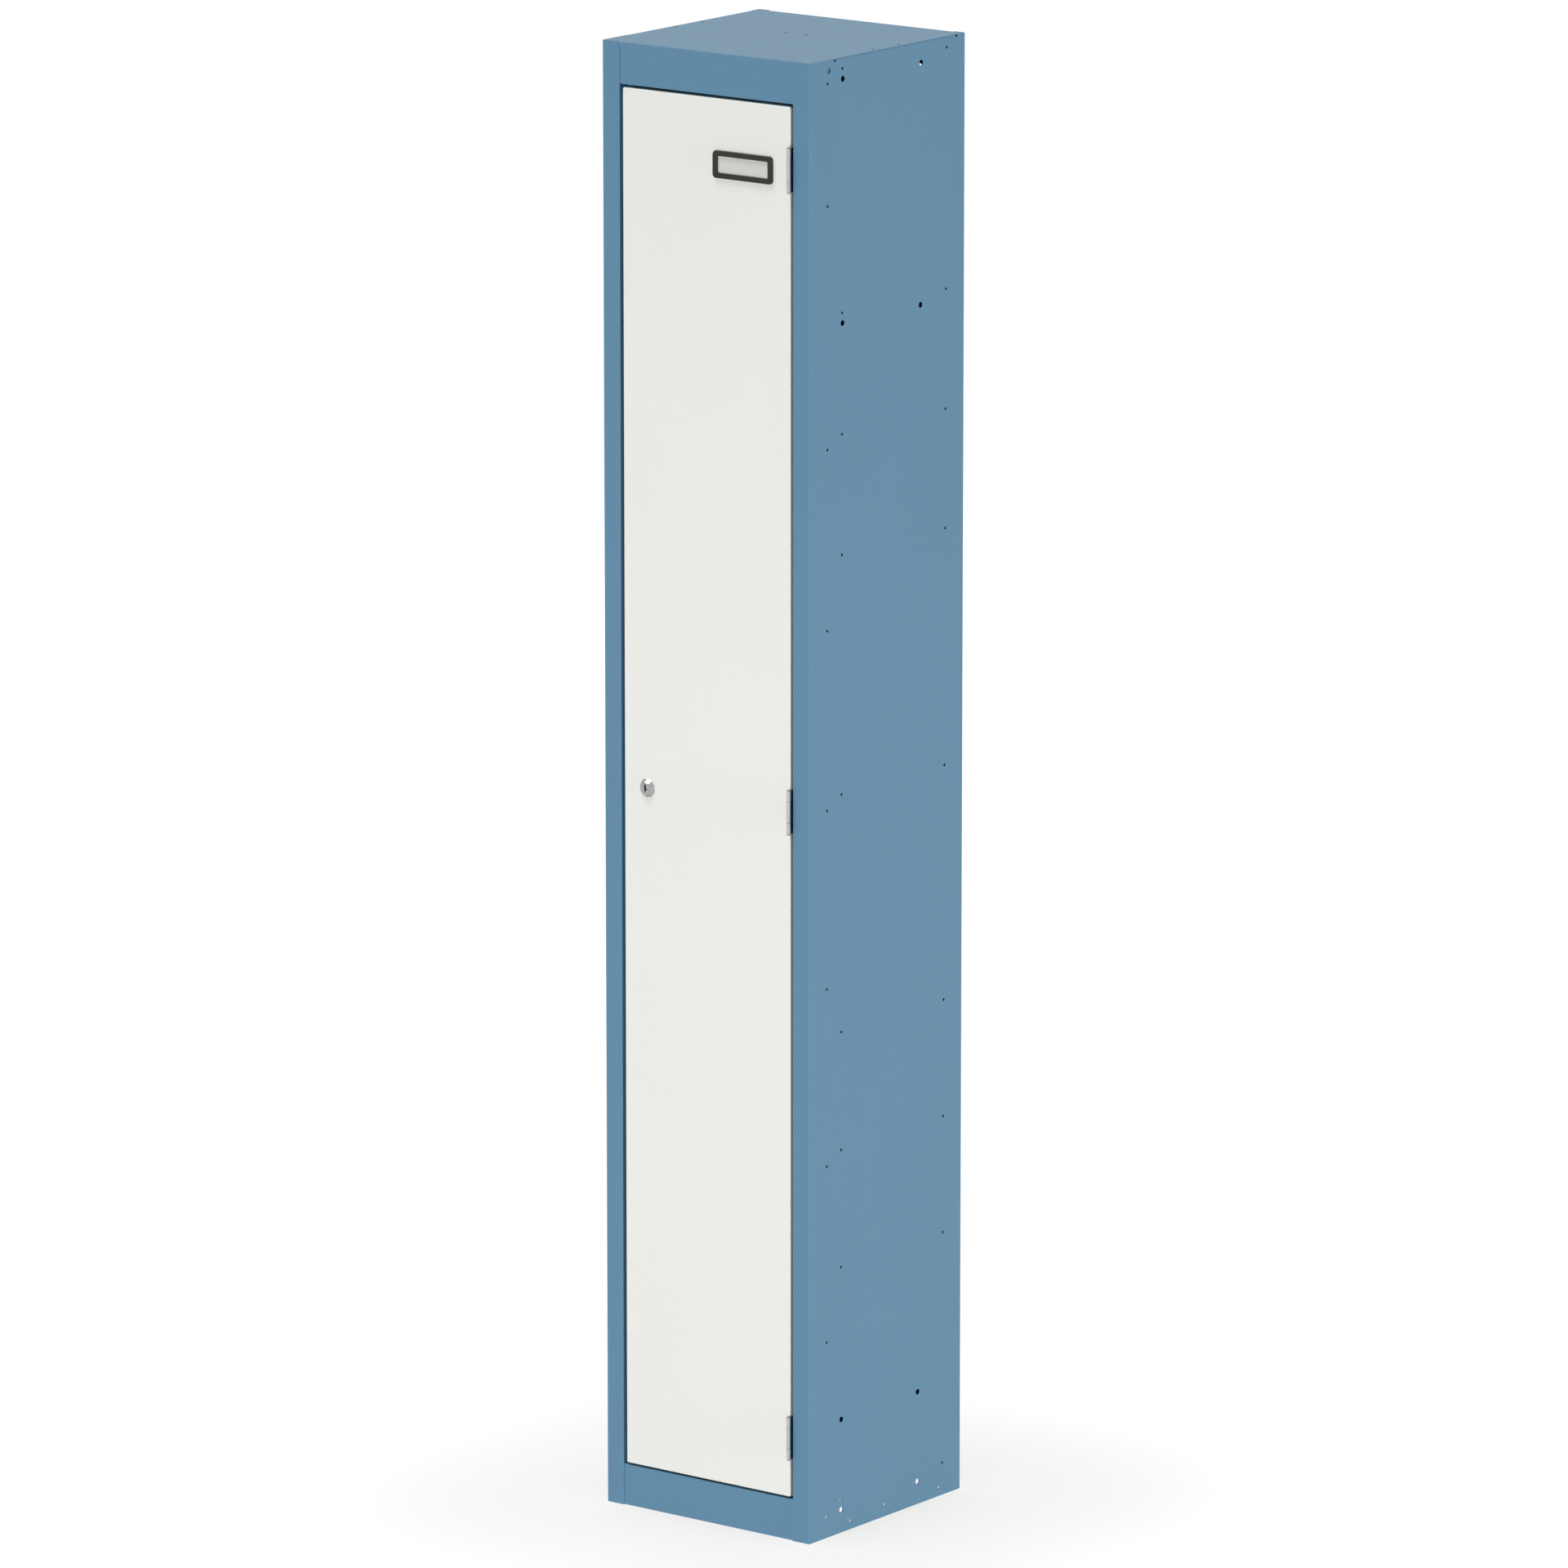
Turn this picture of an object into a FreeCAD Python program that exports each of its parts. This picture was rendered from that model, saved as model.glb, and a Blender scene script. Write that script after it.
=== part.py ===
import FreeCAD, Part
import math
import os

import Sketcher

# A tall single-door steel locker: folded body panels, a pan door on three
# proud knuckle hinges, and a cam lock whose cam hooks behind a stop lip.
# Millimetres. The origin is the centre of the base, +Z is up, the door
# faces -Y and hangs on the +X side.

DIMENSIONS = {
    # carcass
    "locker_width": 305.0,
    "locker_depth": 302.0,
    "locker_height": 1778.0,
    "sheet_gauge": 1.0,
    "bend_radius": 0.3,
    "fit_gap": 0.1,
    # side panels
    "stile_width": 25.0,
    "stile_corner_radius": 12.0,
    "stile_corner_rise": 1.5,
    "return_depth": 19.0,
    "return_end_gap": 0.5,
    "stop_width": 12.0,
    "rear_flange": 16.0,
    "top_flange": 14.0,
    "top_flange_front_offset": 50.0,
    "top_flange_rear_offset": 19.0,
    "top_relief": 4.0,
    "base_flange": 14.0,
    "base_flange_inset": 20.0,
    # punched holes in the side panels
    "row_start_height": 40.6,
    "row_top_drop": 13.0,
    "shelf_hole_radius": 1.7,
    "flange_hole_radius": 2.6,
    "shelf_hole_front_offset": 62.2,
    "shelf_hole_rear_offset": 36.6,
    "stile_hole_front_offset": 33.9,
    "stile_hole_drop": 14.7,
    "nest_hole_radius": 3.5,
    "nest_hole_front_offset": 62.9,
    "nest_hole_spacing": 152.4,
    "nest_hole_drop": 12.1,
    "nest_hole_height": 140.2,
    "tab_hole_front_offset": 35.4,
    "tab_hole_drop": 12.6,
    "base_hole_height": 10.6,
    "base_hole_middle_rise": 4.0,
    "base_hole_front_offset": 81.5,
    "base_hole_middle_offset": 149.9,
    "base_hole_rear_offset": 42.6,
    "clinch_hole_radius": 2.0,
    "clinch_inset": 7.5,
    "clinch_front_offset": 131.0,
    "clinch_spacing": 50.8,
    # back, top and floor
    "back_side_gap": 1.0,
    "back_lift": 15.0,
    "wall_hole_radius": 4.0,
    "wall_hole_half_spacing": 88.0,
    "wall_hole_drop": 46.5,
    "rail_height": 50.0,
    "rail_return": 18.0,
    "rail_lip": 9.0,
    "rear_drop": 18.0,
    "tab_length": 44.0,
    "tab_height": 24.0,
    "tab_setback": 3.0,
    "plinth_height": 51.0,
    "plinth_return": 16.0,
    "floor_flange": 17.0,
    "floor_flange_inset": 12.0,
    # shelf and hook
    "shelf_rise": 9.4,
    "shelf_flange": 17.0,
    "shelf_lip": 20.0,
    "shelf_setback": 32.0,
    "hook_hole_radius": 2.05,
    "hook_hole_half_spacing": 14.7,
    "hook_hole_offset": 23.0,
    "hook_plate_gauge": 2.5,
    "hook_plate_length": 52.0,
    "hook_plate_width": 16.0,
    "hook_plate_corner": 4.0,
    "prong_width": 12.0,
    "prong_gauge": 2.5,
    "prong_start": 6.0,
    "prong_bend_radius": 8.0,
    "prong_flat": 4.0,
    "prong_drop": 40.0,
    "prong_rise": 10.0,
    "prong_tip_radius": 5.0,
    "rivet_clearance": 0.05,
    "rivet_head_radius": 3.5,
    "rivet_head_height": 1.3,
    # door
    "lock_side_gap": 4.8,
    "hinge_side_gap": 3.3,
    "door_top_gap": 3.35,
    "door_bottom_gap": 2.75,
    "door_depth": 16.0,
    "door_lip": 12.0,
    "stiffener_width": 60.0,
    "stiffener_depth": 11.0,
    "stiffener_flange": 12.0,
    "stiffener_bottom_offset": 40.0,
    "stiffener_top_offset": 130.0,
    "buffer_radius": 4.0,
    "buffer_tip_radius": 3.2,
    "buffer_clearance": 0.3,
    "buffer_bottom_offset": 200.0,
    "buffer_top_offset": 180.0,
    # hinges
    "knuckle_radius": 2.65,
    "hinge_standoff": 4.2,
    "hinge_height": 52.0,
    "hinge_end_offset": 73.45,
    "middle_knuckle": 25.0,
    "knuckle_gap": 0.3,
    "knuckle_sweep_gap": 0.35,
    "hinge_leaf_gauge": 1.2,
    "frame_leaf_depth": 14.0,
    "door_leaf_depth": 13.0,
    "pin_radius": 1.5,
    "pin_clearance": 0.05,
    "pin_head_radius": 2.3,
    "pin_head_height": 0.9,
    # card holder
    "holder_width": 87.0,
    "holder_height": 32.0,
    "holder_depth": 2.8,
    "holder_corner": 4.5,
    "holder_hinge_offset": 68.5,
    "holder_drop": 77.0,
    "window_width": 74.0,
    "window_height": 20.4,
    "window_corner": 1.8,
    "card_slot_depth": 1.0,
    "card_slot_lap": 2.4,
    "peg_radius": 1.3,
    "peg_clearance": 0.1,
    "peg_half_spacing": 30.0,
    "peg_edge": 1.8,
    "peg_length": 3.0,
    # cam lock
    "lock_setback": 34.0,
    "collar_radius": 11.6,
    "collar_face_radius": 7.7,
    "collar_height": 4.5,
    "barrel_radius": 9.0,
    "barrel_clearance": 0.1,
    "nut_radius": 14.0,
    "nut_thickness": 4.5,
    "plug_radius": 6.4,
    "plug_clearance": 0.05,
    "key_slot_width": 1.9,
    "key_slot_depth": 12.0,
    "tail_size": 7.0,
    "cam_clearance": 1.0,
    "cam_thickness": 2.0,
    "cam_width": 16.0,
    "cam_reach": 36.0,
    "cam_corner": 5.0,
    "screw_radius": 1.95,
    "screw_depth": 7.0,
    "screw_head_radius": 4.6,
    "screw_head_height": 1.8,
    "screw_slot_width": 1.2,
    "screw_slot_depth": 0.8,
}

# Rows of the shelf-clip holes, counted in row pitches from the lowest one.
SHELF_ROWS = (0, 2, 3, 4, 6, 8, 9, 10, 12)
STILE_ROWS = (0, 1.5, 3, 4.5, 6, 7.5, 9, 11, 12)
NEST_ROWS = (0, 10, 12)
HAT_SHELF_ROW = 10
TOP_ROW = 12

COLLAR_FACETS = 10
NUT_SIDES = 6

QUARTER_TURN = 90

# How much of a rivet's or pin's head is bevelled.
BEVEL_SHARE = 0.6
TOLERANCE = 1e-6

# The keyway's centre line on the plug face, across and up from the axis,
# in shares of the plug's radius: a straight bit, a kink and a hook.
KEYWAY = ((0.0, 0.82), (-0.02, 0.28), (0.31, -0.1), (-0.08, -0.42))

DOCUMENT = FreeCAD.newDocument("Locker")


class Size:
    """A length known both as a number and as an expression on the sheet."""

    def __init__(self, value, text):
        self.value = value
        self.text = text

    def __add__(self, other):
        other = as_size(other)
        return Size(self.value + other.value, f"({self.text} + {other.text})")

    def __sub__(self, other):
        other = as_size(other)
        return Size(self.value - other.value, f"({self.text} - {other.text})")

    def __mul__(self, factor):
        return Size(self.value * factor, f"({self.text} * {factor!r})")

    def __truediv__(self, divisor):
        return Size(self.value / divisor, f"({self.text} / {divisor!r})")

    def __neg__(self):
        return Size(-self.value, f"(0 - {self.text})")


def as_size(item):
    """A Size as it is, or a plain number as a constant Size."""
    if isinstance(item, Size):
        return item
    return Size(item, repr(item))


class Sizes:
    """The driving dimensions, one attribute per cell of the sheet."""

    def __init__(self, dimensions):
        sheet = DOCUMENT.addObject("Spreadsheet::Sheet", "Sizes")
        for row, (name, number) in enumerate(dimensions.items(), start=1):
            sheet.set(f"A{row}", name)
            sheet.set(f"B{row}", str(number))
            sheet.setAlias(f"B{row}", name)
            setattr(self, name, Size(number, f"Sizes.{name}"))
        DOCUMENT.recompute()


D = Sizes(DIMENSIONS)

# Places shared by several pieces.
GAUGE = D.sheet_gauge
INNER_BEND = D.bend_radius
OUTER_BEND = D.bend_radius + GAUGE
ZERO = D.locker_width - D.locker_width

HALF_WIDTH = D.locker_width / 2
FRONT = -(D.locker_depth / 2)
REAR = D.locker_depth / 2
TOP = D.locker_height
WALL_INSIDE = HALF_WIDTH - GAUGE
PANEL_HALF = WALL_INSIDE - INNER_BEND - D.fit_gap

BACK_FRONT = REAR - GAUGE * 2

STILE_EDGE = HALF_WIDTH - D.stile_width
RETURN_BACK = FRONT + D.return_depth
STOP_FRONT = RETURN_BACK - GAUGE
OPENING_LOW = D.plinth_height
OPENING_HIGH = TOP - D.rail_height

ROW_PITCH = (TOP - D.row_top_drop - D.row_start_height) / TOP_ROW

CLINCH_YS = (FRONT + D.clinch_front_offset, FRONT + D.clinch_front_offset + D.clinch_spacing)
CLINCH_X = HALF_WIDTH - D.clinch_inset
SHELF_HOLE_YS = (FRONT + D.shelf_hole_front_offset, REAR - D.shelf_hole_rear_offset)
BASE_HOLES = (
    (FRONT + D.base_hole_front_offset, D.base_hole_height),
    (FRONT + D.base_hole_middle_offset, D.base_hole_height + D.base_hole_middle_rise),
    (REAR - D.base_hole_rear_offset, D.base_hole_height),
)
NEST_HOLE_FRONT = FRONT + D.nest_hole_front_offset
NEST_HOLE_YS = (NEST_HOLE_FRONT, NEST_HOLE_FRONT + D.nest_hole_spacing)

SHELF_TOP = D.row_start_height + ROW_PITCH * HAT_SHELF_ROW + D.shelf_rise
SHELF_FRONT = FRONT + D.shelf_setback

DOOR_LEFT = D.lock_side_gap - STILE_EDGE
DOOR_RIGHT = STILE_EDGE - D.hinge_side_gap
DOOR_LOW = OPENING_LOW + D.door_bottom_gap
DOOR_HIGH = OPENING_HIGH - D.door_top_gap
DOOR_MIDDLE = (DOOR_LOW + DOOR_HIGH) / 2
DOOR_BACK = FRONT + D.door_depth
DOOR_SKIN_BACK = FRONT + GAUGE

HINGE_X = STILE_EDGE - D.knuckle_radius
HINGE_Y = FRONT - D.hinge_standoff

HOLDER_X = DOOR_RIGHT - D.holder_hinge_offset
HOLDER_Z = DOOR_HIGH - D.holder_drop

LOCK_X = DOOR_LEFT + D.lock_setback
LOCK_Z = DOOR_MIDDLE
COLLAR_FACE = FRONT - D.collar_height
CAM_FRONT = RETURN_BACK + D.cam_clearance
CAM_BACK = CAM_FRONT + D.cam_thickness
BARREL_BACK = CAM_FRONT - D.cam_clearance / 2


def new_body(label):
    """An empty body for one sub-part."""
    body = DOCUMENT.addObject("PartDesign::Body", label)
    body.Label = label
    return body


def origin_plane(body, role):
    """One of the body's own three planes."""
    return next(item for item in body.Origin.OriginFeatures if item.Role == role)


def sketch_at(body, role, level):
    """A sketch on one of the body's own planes, moved to a level along that plane's axis."""
    sketch = body.newObject("Sketcher::SketchObject", f"{body.Name}_sketch")
    sketch.AttachmentSupport = (origin_plane(body, role), [""])
    sketch.MapMode = "FlatFace"
    offset = -level if role == "XZ_Plane" else level
    sketch.setExpression("AttachmentOffset.Base.z", offset.text)
    return sketch


def bind(sketch, *parts, size):
    """Adds one dimensional constraint and ties it to the sheet."""
    index = sketch.addConstraint(Sketcher.Constraint(*parts, size.value))
    sketch.setExpression(f"Constraints[{index}]", size.text)


def vector(x, y):
    """A point in a sketch."""
    return FreeCAD.Vector(x, y, 0)


def towards(start, end, distance):
    """The point at a distance from start, on the way to end."""
    share = distance / math.dist(start, end)
    return tuple(here + (there - here) * share for here, there in zip(start, end))


def folded(sketch, corners):
    """Draws a closed outline of level and upright lines.

    A corner with a third value is a bend of that radius.
    """
    points = [(x.value, y.value) for x, y, *_ in corners]
    bends = [corner[2] if len(corner) > 2 else None for corner in corners]
    following = points[1:] + points[:1]
    reaches = [size.value if size else 0.0 for size in bends]
    arrivals = [towards(*item) for item in zip(points, points[-1:] + points[:-1], reaches)]
    departures = [towards(*item) for item in zip(points, following, reaches)]
    lines = []
    for (x, y, *_), start, end in zip(corners, departures, arrivals[1:] + arrivals[:1]):
        line = sketch.addGeometry(Part.LineSegment(vector(*start), vector(*end)), False)
        lines.append(line)
        if abs(end[0] - start[0]) < abs(end[1] - start[1]):
            sketch.addConstraint(Sketcher.Constraint("Vertical", line))
            bind(sketch, "DistanceX", -1, 1, line, 1, size=x)
        else:
            sketch.addConstraint(Sketcher.Constraint("Horizontal", line))
            bind(sketch, "DistanceY", -1, 1, line, 1, size=y)
    for index, size in enumerate(bends):
        neighbours = lines[index - 1], lines[index]
        if size:
            bend(sketch, points[index], (arrivals[index], departures[index]), neighbours, size)
        else:
            sketch.addConstraint(Sketcher.Constraint("Coincident", neighbours[0], 2, neighbours[1], 1))


def bend(sketch, corner, ends, neighbours, size):
    """Rounds one corner of a folded outline with an arc tangent to the lines before and after it."""
    arrival, departure = ends
    centre = vector(arrival[0] + departure[0] - corner[0], arrival[1] + departure[1] - corner[1])
    first, last = [math.atan2(y - centre.y, x - centre.x) for x, y in ends]
    turns_left = math.sin(last - first) > 0
    if not turns_left:
        first, last = last, first
    if last < first:
        last += 2 * math.pi
    whole = Part.Circle(centre, FreeCAD.Vector(0, 0, 1), size.value)
    arc = sketch.addGeometry(Part.ArcOfCircle(whole, first, last), False)
    entry, leave = (1, 2) if turns_left else (2, 1)
    sketch.addConstraint(Sketcher.Constraint("Tangent", neighbours[0], 2, arc, entry))
    sketch.addConstraint(Sketcher.Constraint("Tangent", arc, leave, neighbours[1], 1))
    bind(sketch, "Radius", arc, size=size)


def polygon(sketch, points):
    """Draws a closed outline of straight lines through points that are each tied to the sheet."""
    count = len(points)
    lines = []
    for index in range(count):
        start, end = points[index], points[(index + 1) % count]
        ends = [vector(x.value, y.value) for x, y in (start, end)]
        lines.append(sketch.addGeometry(Part.LineSegment(*ends), False))
    for index in range(count):
        sketch.addConstraint(Sketcher.Constraint("Coincident", lines[index - 1], 2, lines[index], 1))
        bind(sketch, "DistanceX", -1, 1, lines[index], 1, size=points[index][0])
        bind(sketch, "DistanceY", -1, 1, lines[index], 1, size=points[index][1])


def circle(sketch, x, y, radius):
    """Draws a circle whose centre and radius are tied to the sheet."""
    round_line = Part.Circle(vector(x.value, y.value), FreeCAD.Vector(0, 0, 1), radius.value)
    item = sketch.addGeometry(round_line, False)
    bind(sketch, "DistanceX", -1, 1, item, 3, size=x)
    bind(sketch, "DistanceY", -1, 1, item, 3, size=y)
    bind(sketch, "Radius", item, size=radius)


def box_corners(low_x, high_x, low_y, high_y):
    """The four corners of a plain rectangle."""
    return [(low_x, low_y), (high_x, low_y), (high_x, high_y), (low_x, high_y)]


def rounded_box(low_x, high_x, low_y, high_y, radius):
    """The four corners of a rectangle with equal rounded corners."""
    return [(x, y, radius) for x, y in box_corners(low_x, high_x, low_y, high_y)]


def regular_polygon(centre_x, centre_y, radius, sides):
    """The corners of a regular polygon that lies flat side up."""
    points = []
    for index in range(sides):
        angle = math.pi * (2 * index + 1) / sides
        points.append((centre_x + radius * math.cos(angle), centre_y + radius * math.sin(angle)))
    return points


def pad(body, sketch, length):
    """Adds the drawn outline to the body, towards the plane's positive axis."""
    feature = body.newObject("PartDesign::Pad", f"{body.Name}_pad")
    feature.Profile = sketch
    feature.setExpression("Length", length.text)
    feature.Reversed = sketch.AttachmentSupport[0][0].Role == "XZ_Plane"
    DOCUMENT.recompute()


def cut(body, role, low, high, draw):
    """Removes what draw outlines on a plane, between two levels along that plane's axis."""
    DOCUMENT.recompute()
    before = body.Shape.Volume
    sketch = sketch_at(body, role, low if role == "XZ_Plane" else high)
    draw(sketch)
    feature = body.newObject("PartDesign::Pocket", f"{body.Name}_cut")
    feature.Profile = sketch
    feature.setExpression("Length", (high - low).text)
    DOCUMENT.recompute()
    if body.Shape.Volume >= before:
        raise RuntimeError(f"a cut in {body.Label} removed nothing")


def slab(body, role, low, high, draw):
    """Adds what draw outlines on a plane, between two levels along that plane's axis."""
    sketch = sketch_at(body, role, low)
    draw(sketch)
    pad(body, sketch, high - low)


def span(side, low, high):
    """A stretch of x on the right side, or its mirror image on the left."""
    return (low, high) if side > 0 else (-high, -low)


def mirrored(side, corners):
    """Corners of an outline in x, as drawn for the right side or mirrored for the left."""
    return [(corner[0] * side, *corner[1:]) for corner in corners]


def side_panel(label, side, has_stop):
    """One side of the cabinet, folded from one sheet: wall, stile, return, flanges and punched holes."""
    body = new_body(label)
    stile_root = STILE_EDGE + OUTER_BEND + GAUGE
    plate_outer = HALF_WIDTH - OUTER_BEND - GAUGE
    wall = [
        (plate_outer, FRONT),
        (HALF_WIDTH, FRONT, OUTER_BEND),
        (HALF_WIDTH, REAR, OUTER_BEND),
        (HALF_WIDTH - D.rear_flange, REAR),
        (HALF_WIDTH - D.rear_flange, REAR - GAUGE),
        (WALL_INSIDE, REAR - GAUGE, INNER_BEND),
        (WALL_INSIDE, FRONT + GAUGE, INNER_BEND),
        (plate_outer, FRONT + GAUGE),
    ]
    slab(body, "XY_Plane", ZERO, TOP, lambda s: folded(s, mirrored(side, wall)))
    stile_front(body, side, stile_root, plate_outer)
    slab(
        body,
        "XY_Plane",
        OPENING_LOW + D.return_end_gap,
        OPENING_HIGH - D.return_end_gap,
        lambda s: folded(s, mirrored(side, return_outline(stile_root, has_stop))),
    )
    top_flange(body, side)
    base = box_corners(HALF_WIDTH - D.base_flange, HALF_WIDTH - GAUGE / 2, ZERO, GAUGE)
    slab(
        body,
        "XZ_Plane",
        FRONT + D.base_flange_inset,
        REAR - D.base_flange_inset,
        lambda s: folded(s, mirrored(side, base)),
    )
    side_holes(body, side)
    return body


def stile_front(body, side, stile_root, plate_outer):
    """The stile's front plate: full width beside the rails, narrower along the return, top corner rounded."""
    crown = TOP + D.stile_corner_rise
    low = OPENING_LOW + D.return_end_gap
    high = OPENING_HIGH - D.return_end_gap
    plate = [
        (plate_outer, ZERO),
        (STILE_EDGE, ZERO),
        (STILE_EDGE, low),
        (stile_root, low),
        (stile_root, high),
        (STILE_EDGE, high),
        (STILE_EDGE, crown, D.stile_corner_radius),
        (plate_outer, crown),
    ]
    slab(body, "XZ_Plane", FRONT, FRONT + GAUGE, lambda s: folded(s, mirrored(side, plate)))
    trim = box_corners(STILE_EDGE, HALF_WIDTH, FRONT - GAUGE, FRONT + GAUGE * 2)
    cut(body, "XY_Plane", TOP, crown + GAUGE, lambda s: folded(s, mirrored(side, trim)))


def return_outline(stile_root, has_stop):
    """The bend at the stile's inner edge and the return behind it, with or without the stop lip."""
    outline = [(stile_root, FRONT), (STILE_EDGE, FRONT, OUTER_BEND)]
    if has_stop:
        outline += [
            (STILE_EDGE, STOP_FRONT, INNER_BEND),
            (STILE_EDGE - D.stop_width, STOP_FRONT),
            (STILE_EDGE - D.stop_width, RETURN_BACK),
            (STILE_EDGE + GAUGE, RETURN_BACK, OUTER_BEND),
        ]
    else:
        outline += [(STILE_EDGE, RETURN_BACK), (STILE_EDGE + GAUGE, RETURN_BACK)]
    outline += [(STILE_EDGE + GAUGE, FRONT + GAUGE, INNER_BEND), (stile_root, FRONT + GAUGE)]
    return outline


def top_flange(body, side):
    """Folds the wall's upper edge inwards under the top sheet, between two relief notches."""
    flange_front = FRONT + D.top_flange_front_offset
    flange_rear = REAR - D.top_flange_rear_offset
    under_top = TOP - GAUGE
    root = under_top - OUTER_BEND - GAUGE
    notch = box_corners(flange_front - D.top_relief, flange_rear + D.top_relief, root, TOP + GAUGE)
    low, high = span(side, WALL_INSIDE - GAUGE, HALF_WIDTH + GAUGE)
    cut(body, "YZ_Plane", low, high, lambda s: folded(s, notch))
    flange = [
        (HALF_WIDTH, root),
        (HALF_WIDTH, under_top, OUTER_BEND),
        (HALF_WIDTH - D.top_flange, under_top),
        (HALF_WIDTH - D.top_flange, under_top - GAUGE),
        (WALL_INSIDE, under_top - GAUGE, INNER_BEND),
        (WALL_INSIDE, root),
    ]
    slab(body, "XZ_Plane", flange_front, flange_rear, lambda s: folded(s, mirrored(side, flange)))


def side_holes(body, side):
    """Punches the shelf-clip holes, the nesting holes and the clinch holes of a side panel."""
    low, high = span(side, WALL_INSIDE - GAUGE, HALF_WIDTH + GAUGE)

    def small(sketch):
        for row in SHELF_ROWS:
            for y in SHELF_HOLE_YS:
                circle(sketch, y, D.row_start_height + ROW_PITCH * row, D.shelf_hole_radius)
        for row in STILE_ROWS:
            height = D.row_start_height + ROW_PITCH * row - D.stile_hole_drop
            circle(sketch, FRONT + D.stile_hole_front_offset, height, D.shelf_hole_radius)
        for y, height in BASE_HOLES:
            circle(sketch, y, height, D.shelf_hole_radius)

    def large(sketch):
        heights = [D.row_start_height + ROW_PITCH * row - D.nest_hole_drop for row in NEST_ROWS]
        for height in (*heights, D.nest_hole_height):
            for y in NEST_HOLE_YS:
                circle(sketch, y, height, D.nest_hole_radius)
        circle(sketch, FRONT + D.tab_hole_front_offset, TOP - D.tab_hole_drop, D.nest_hole_radius)

    def clinch(sketch):
        for y in CLINCH_YS:
            circle(sketch, CLINCH_X * side, y, D.clinch_hole_radius)

    cut(body, "YZ_Plane", low, high, small)
    cut(body, "YZ_Plane", low, high, large)
    cut(body, "XY_Plane", TOP - GAUGE * 3, TOP, clinch)


def back_panel():
    """The flat back sheet, inside the rear flanges, with a pair of wall-fixing holes."""
    body = new_body("back_panel")
    edge = WALL_INSIDE - D.back_side_gap
    sheet = box_corners(-edge, edge, D.back_lift, TOP - GAUGE)
    slab(body, "XZ_Plane", BACK_FRONT, BACK_FRONT + GAUGE, lambda s: folded(s, sheet))

    def wall_holes(sketch):
        for side in (-1, 1):
            circle(sketch, D.wall_hole_half_spacing * side, TOP - D.wall_hole_drop, D.wall_hole_radius)

    cut(body, "XZ_Plane", BACK_FRONT - GAUGE, REAR, wall_holes)
    return body


def hook_holes(sketch):
    """The pair of holes that a coat hook is riveted through."""
    for side in (-1, 1):
        circle(sketch, D.hook_hole_half_spacing * side, D.hook_hole_offset, D.hook_hole_radius)


def top_panel():
    """The top sheet with its folded-down front rail, the rail's return, corner tabs and rear flange."""
    body = new_body("top_panel")
    rail_front = FRONT + GAUGE
    rail_back = rail_front + D.rail_return
    rear = BACK_FRONT
    section = [
        (rear, TOP - D.rear_drop),
        (rear, TOP, OUTER_BEND),
        (rail_front, TOP, OUTER_BEND),
        (rail_front, OPENING_HIGH, OUTER_BEND),
        (rail_back, OPENING_HIGH, OUTER_BEND),
        (rail_back, OPENING_HIGH + D.rail_lip),
        (rail_back - GAUGE, OPENING_HIGH + D.rail_lip),
        (rail_back - GAUGE, OPENING_HIGH + GAUGE, INNER_BEND),
        (rail_front + GAUGE, OPENING_HIGH + GAUGE, INNER_BEND),
        (rail_front + GAUGE, TOP - GAUGE, INNER_BEND),
        (rear - GAUGE, TOP - GAUGE, INNER_BEND),
        (rear - GAUGE, TOP - D.rear_drop),
    ]
    slab(body, "YZ_Plane", -PANEL_HALF, PANEL_HALF, lambda s: folded(s, section))
    tab_front = rail_front + D.tab_setback
    tab = box_corners(tab_front, tab_front + D.tab_length, TOP - D.tab_height, TOP - GAUGE / 2)
    for side in (-1, 1):
        low, high = span(side, PANEL_HALF - GAUGE, PANEL_HALF)
        slab(body, "YZ_Plane", low, high, lambda s: folded(s, tab))

    def holes(sketch):
        hook_holes(sketch)
        for side in (-1, 1):
            for y in CLINCH_YS:
                circle(sketch, CLINCH_X * side, y, D.clinch_hole_radius)

    cut(body, "XY_Plane", TOP - GAUGE * 2, TOP + GAUGE, holes)
    return body


def edge_flange(body, side, level, drop, low_y, high_y):
    """Folds the edge of a floor or shelf down along a side wall."""
    root = WALL_INSIDE - OUTER_BEND - GAUGE
    flange = [
        (root, level),
        (WALL_INSIDE, level, OUTER_BEND),
        (WALL_INSIDE, level - drop),
        (WALL_INSIDE - GAUGE, level - drop),
        (WALL_INSIDE - GAUGE, level - GAUGE, INNER_BEND),
        (root, level - GAUGE),
    ]
    slab(body, "XZ_Plane", low_y, high_y, lambda s: folded(s, mirrored(side, flange)))


def flange_holes(body, row):
    """Punches clearance holes in the side flanges, in line with one row of holes in the side panels."""

    def holes(sketch):
        for y in SHELF_HOLE_YS:
            circle(sketch, y, D.row_start_height + ROW_PITCH * row, D.flange_hole_radius)

    for side in (-1, 1):
        low, high = span(side, WALL_INSIDE - GAUGE * 2, WALL_INSIDE + GAUGE)
        cut(body, "YZ_Plane", low, high, holes)


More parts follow.
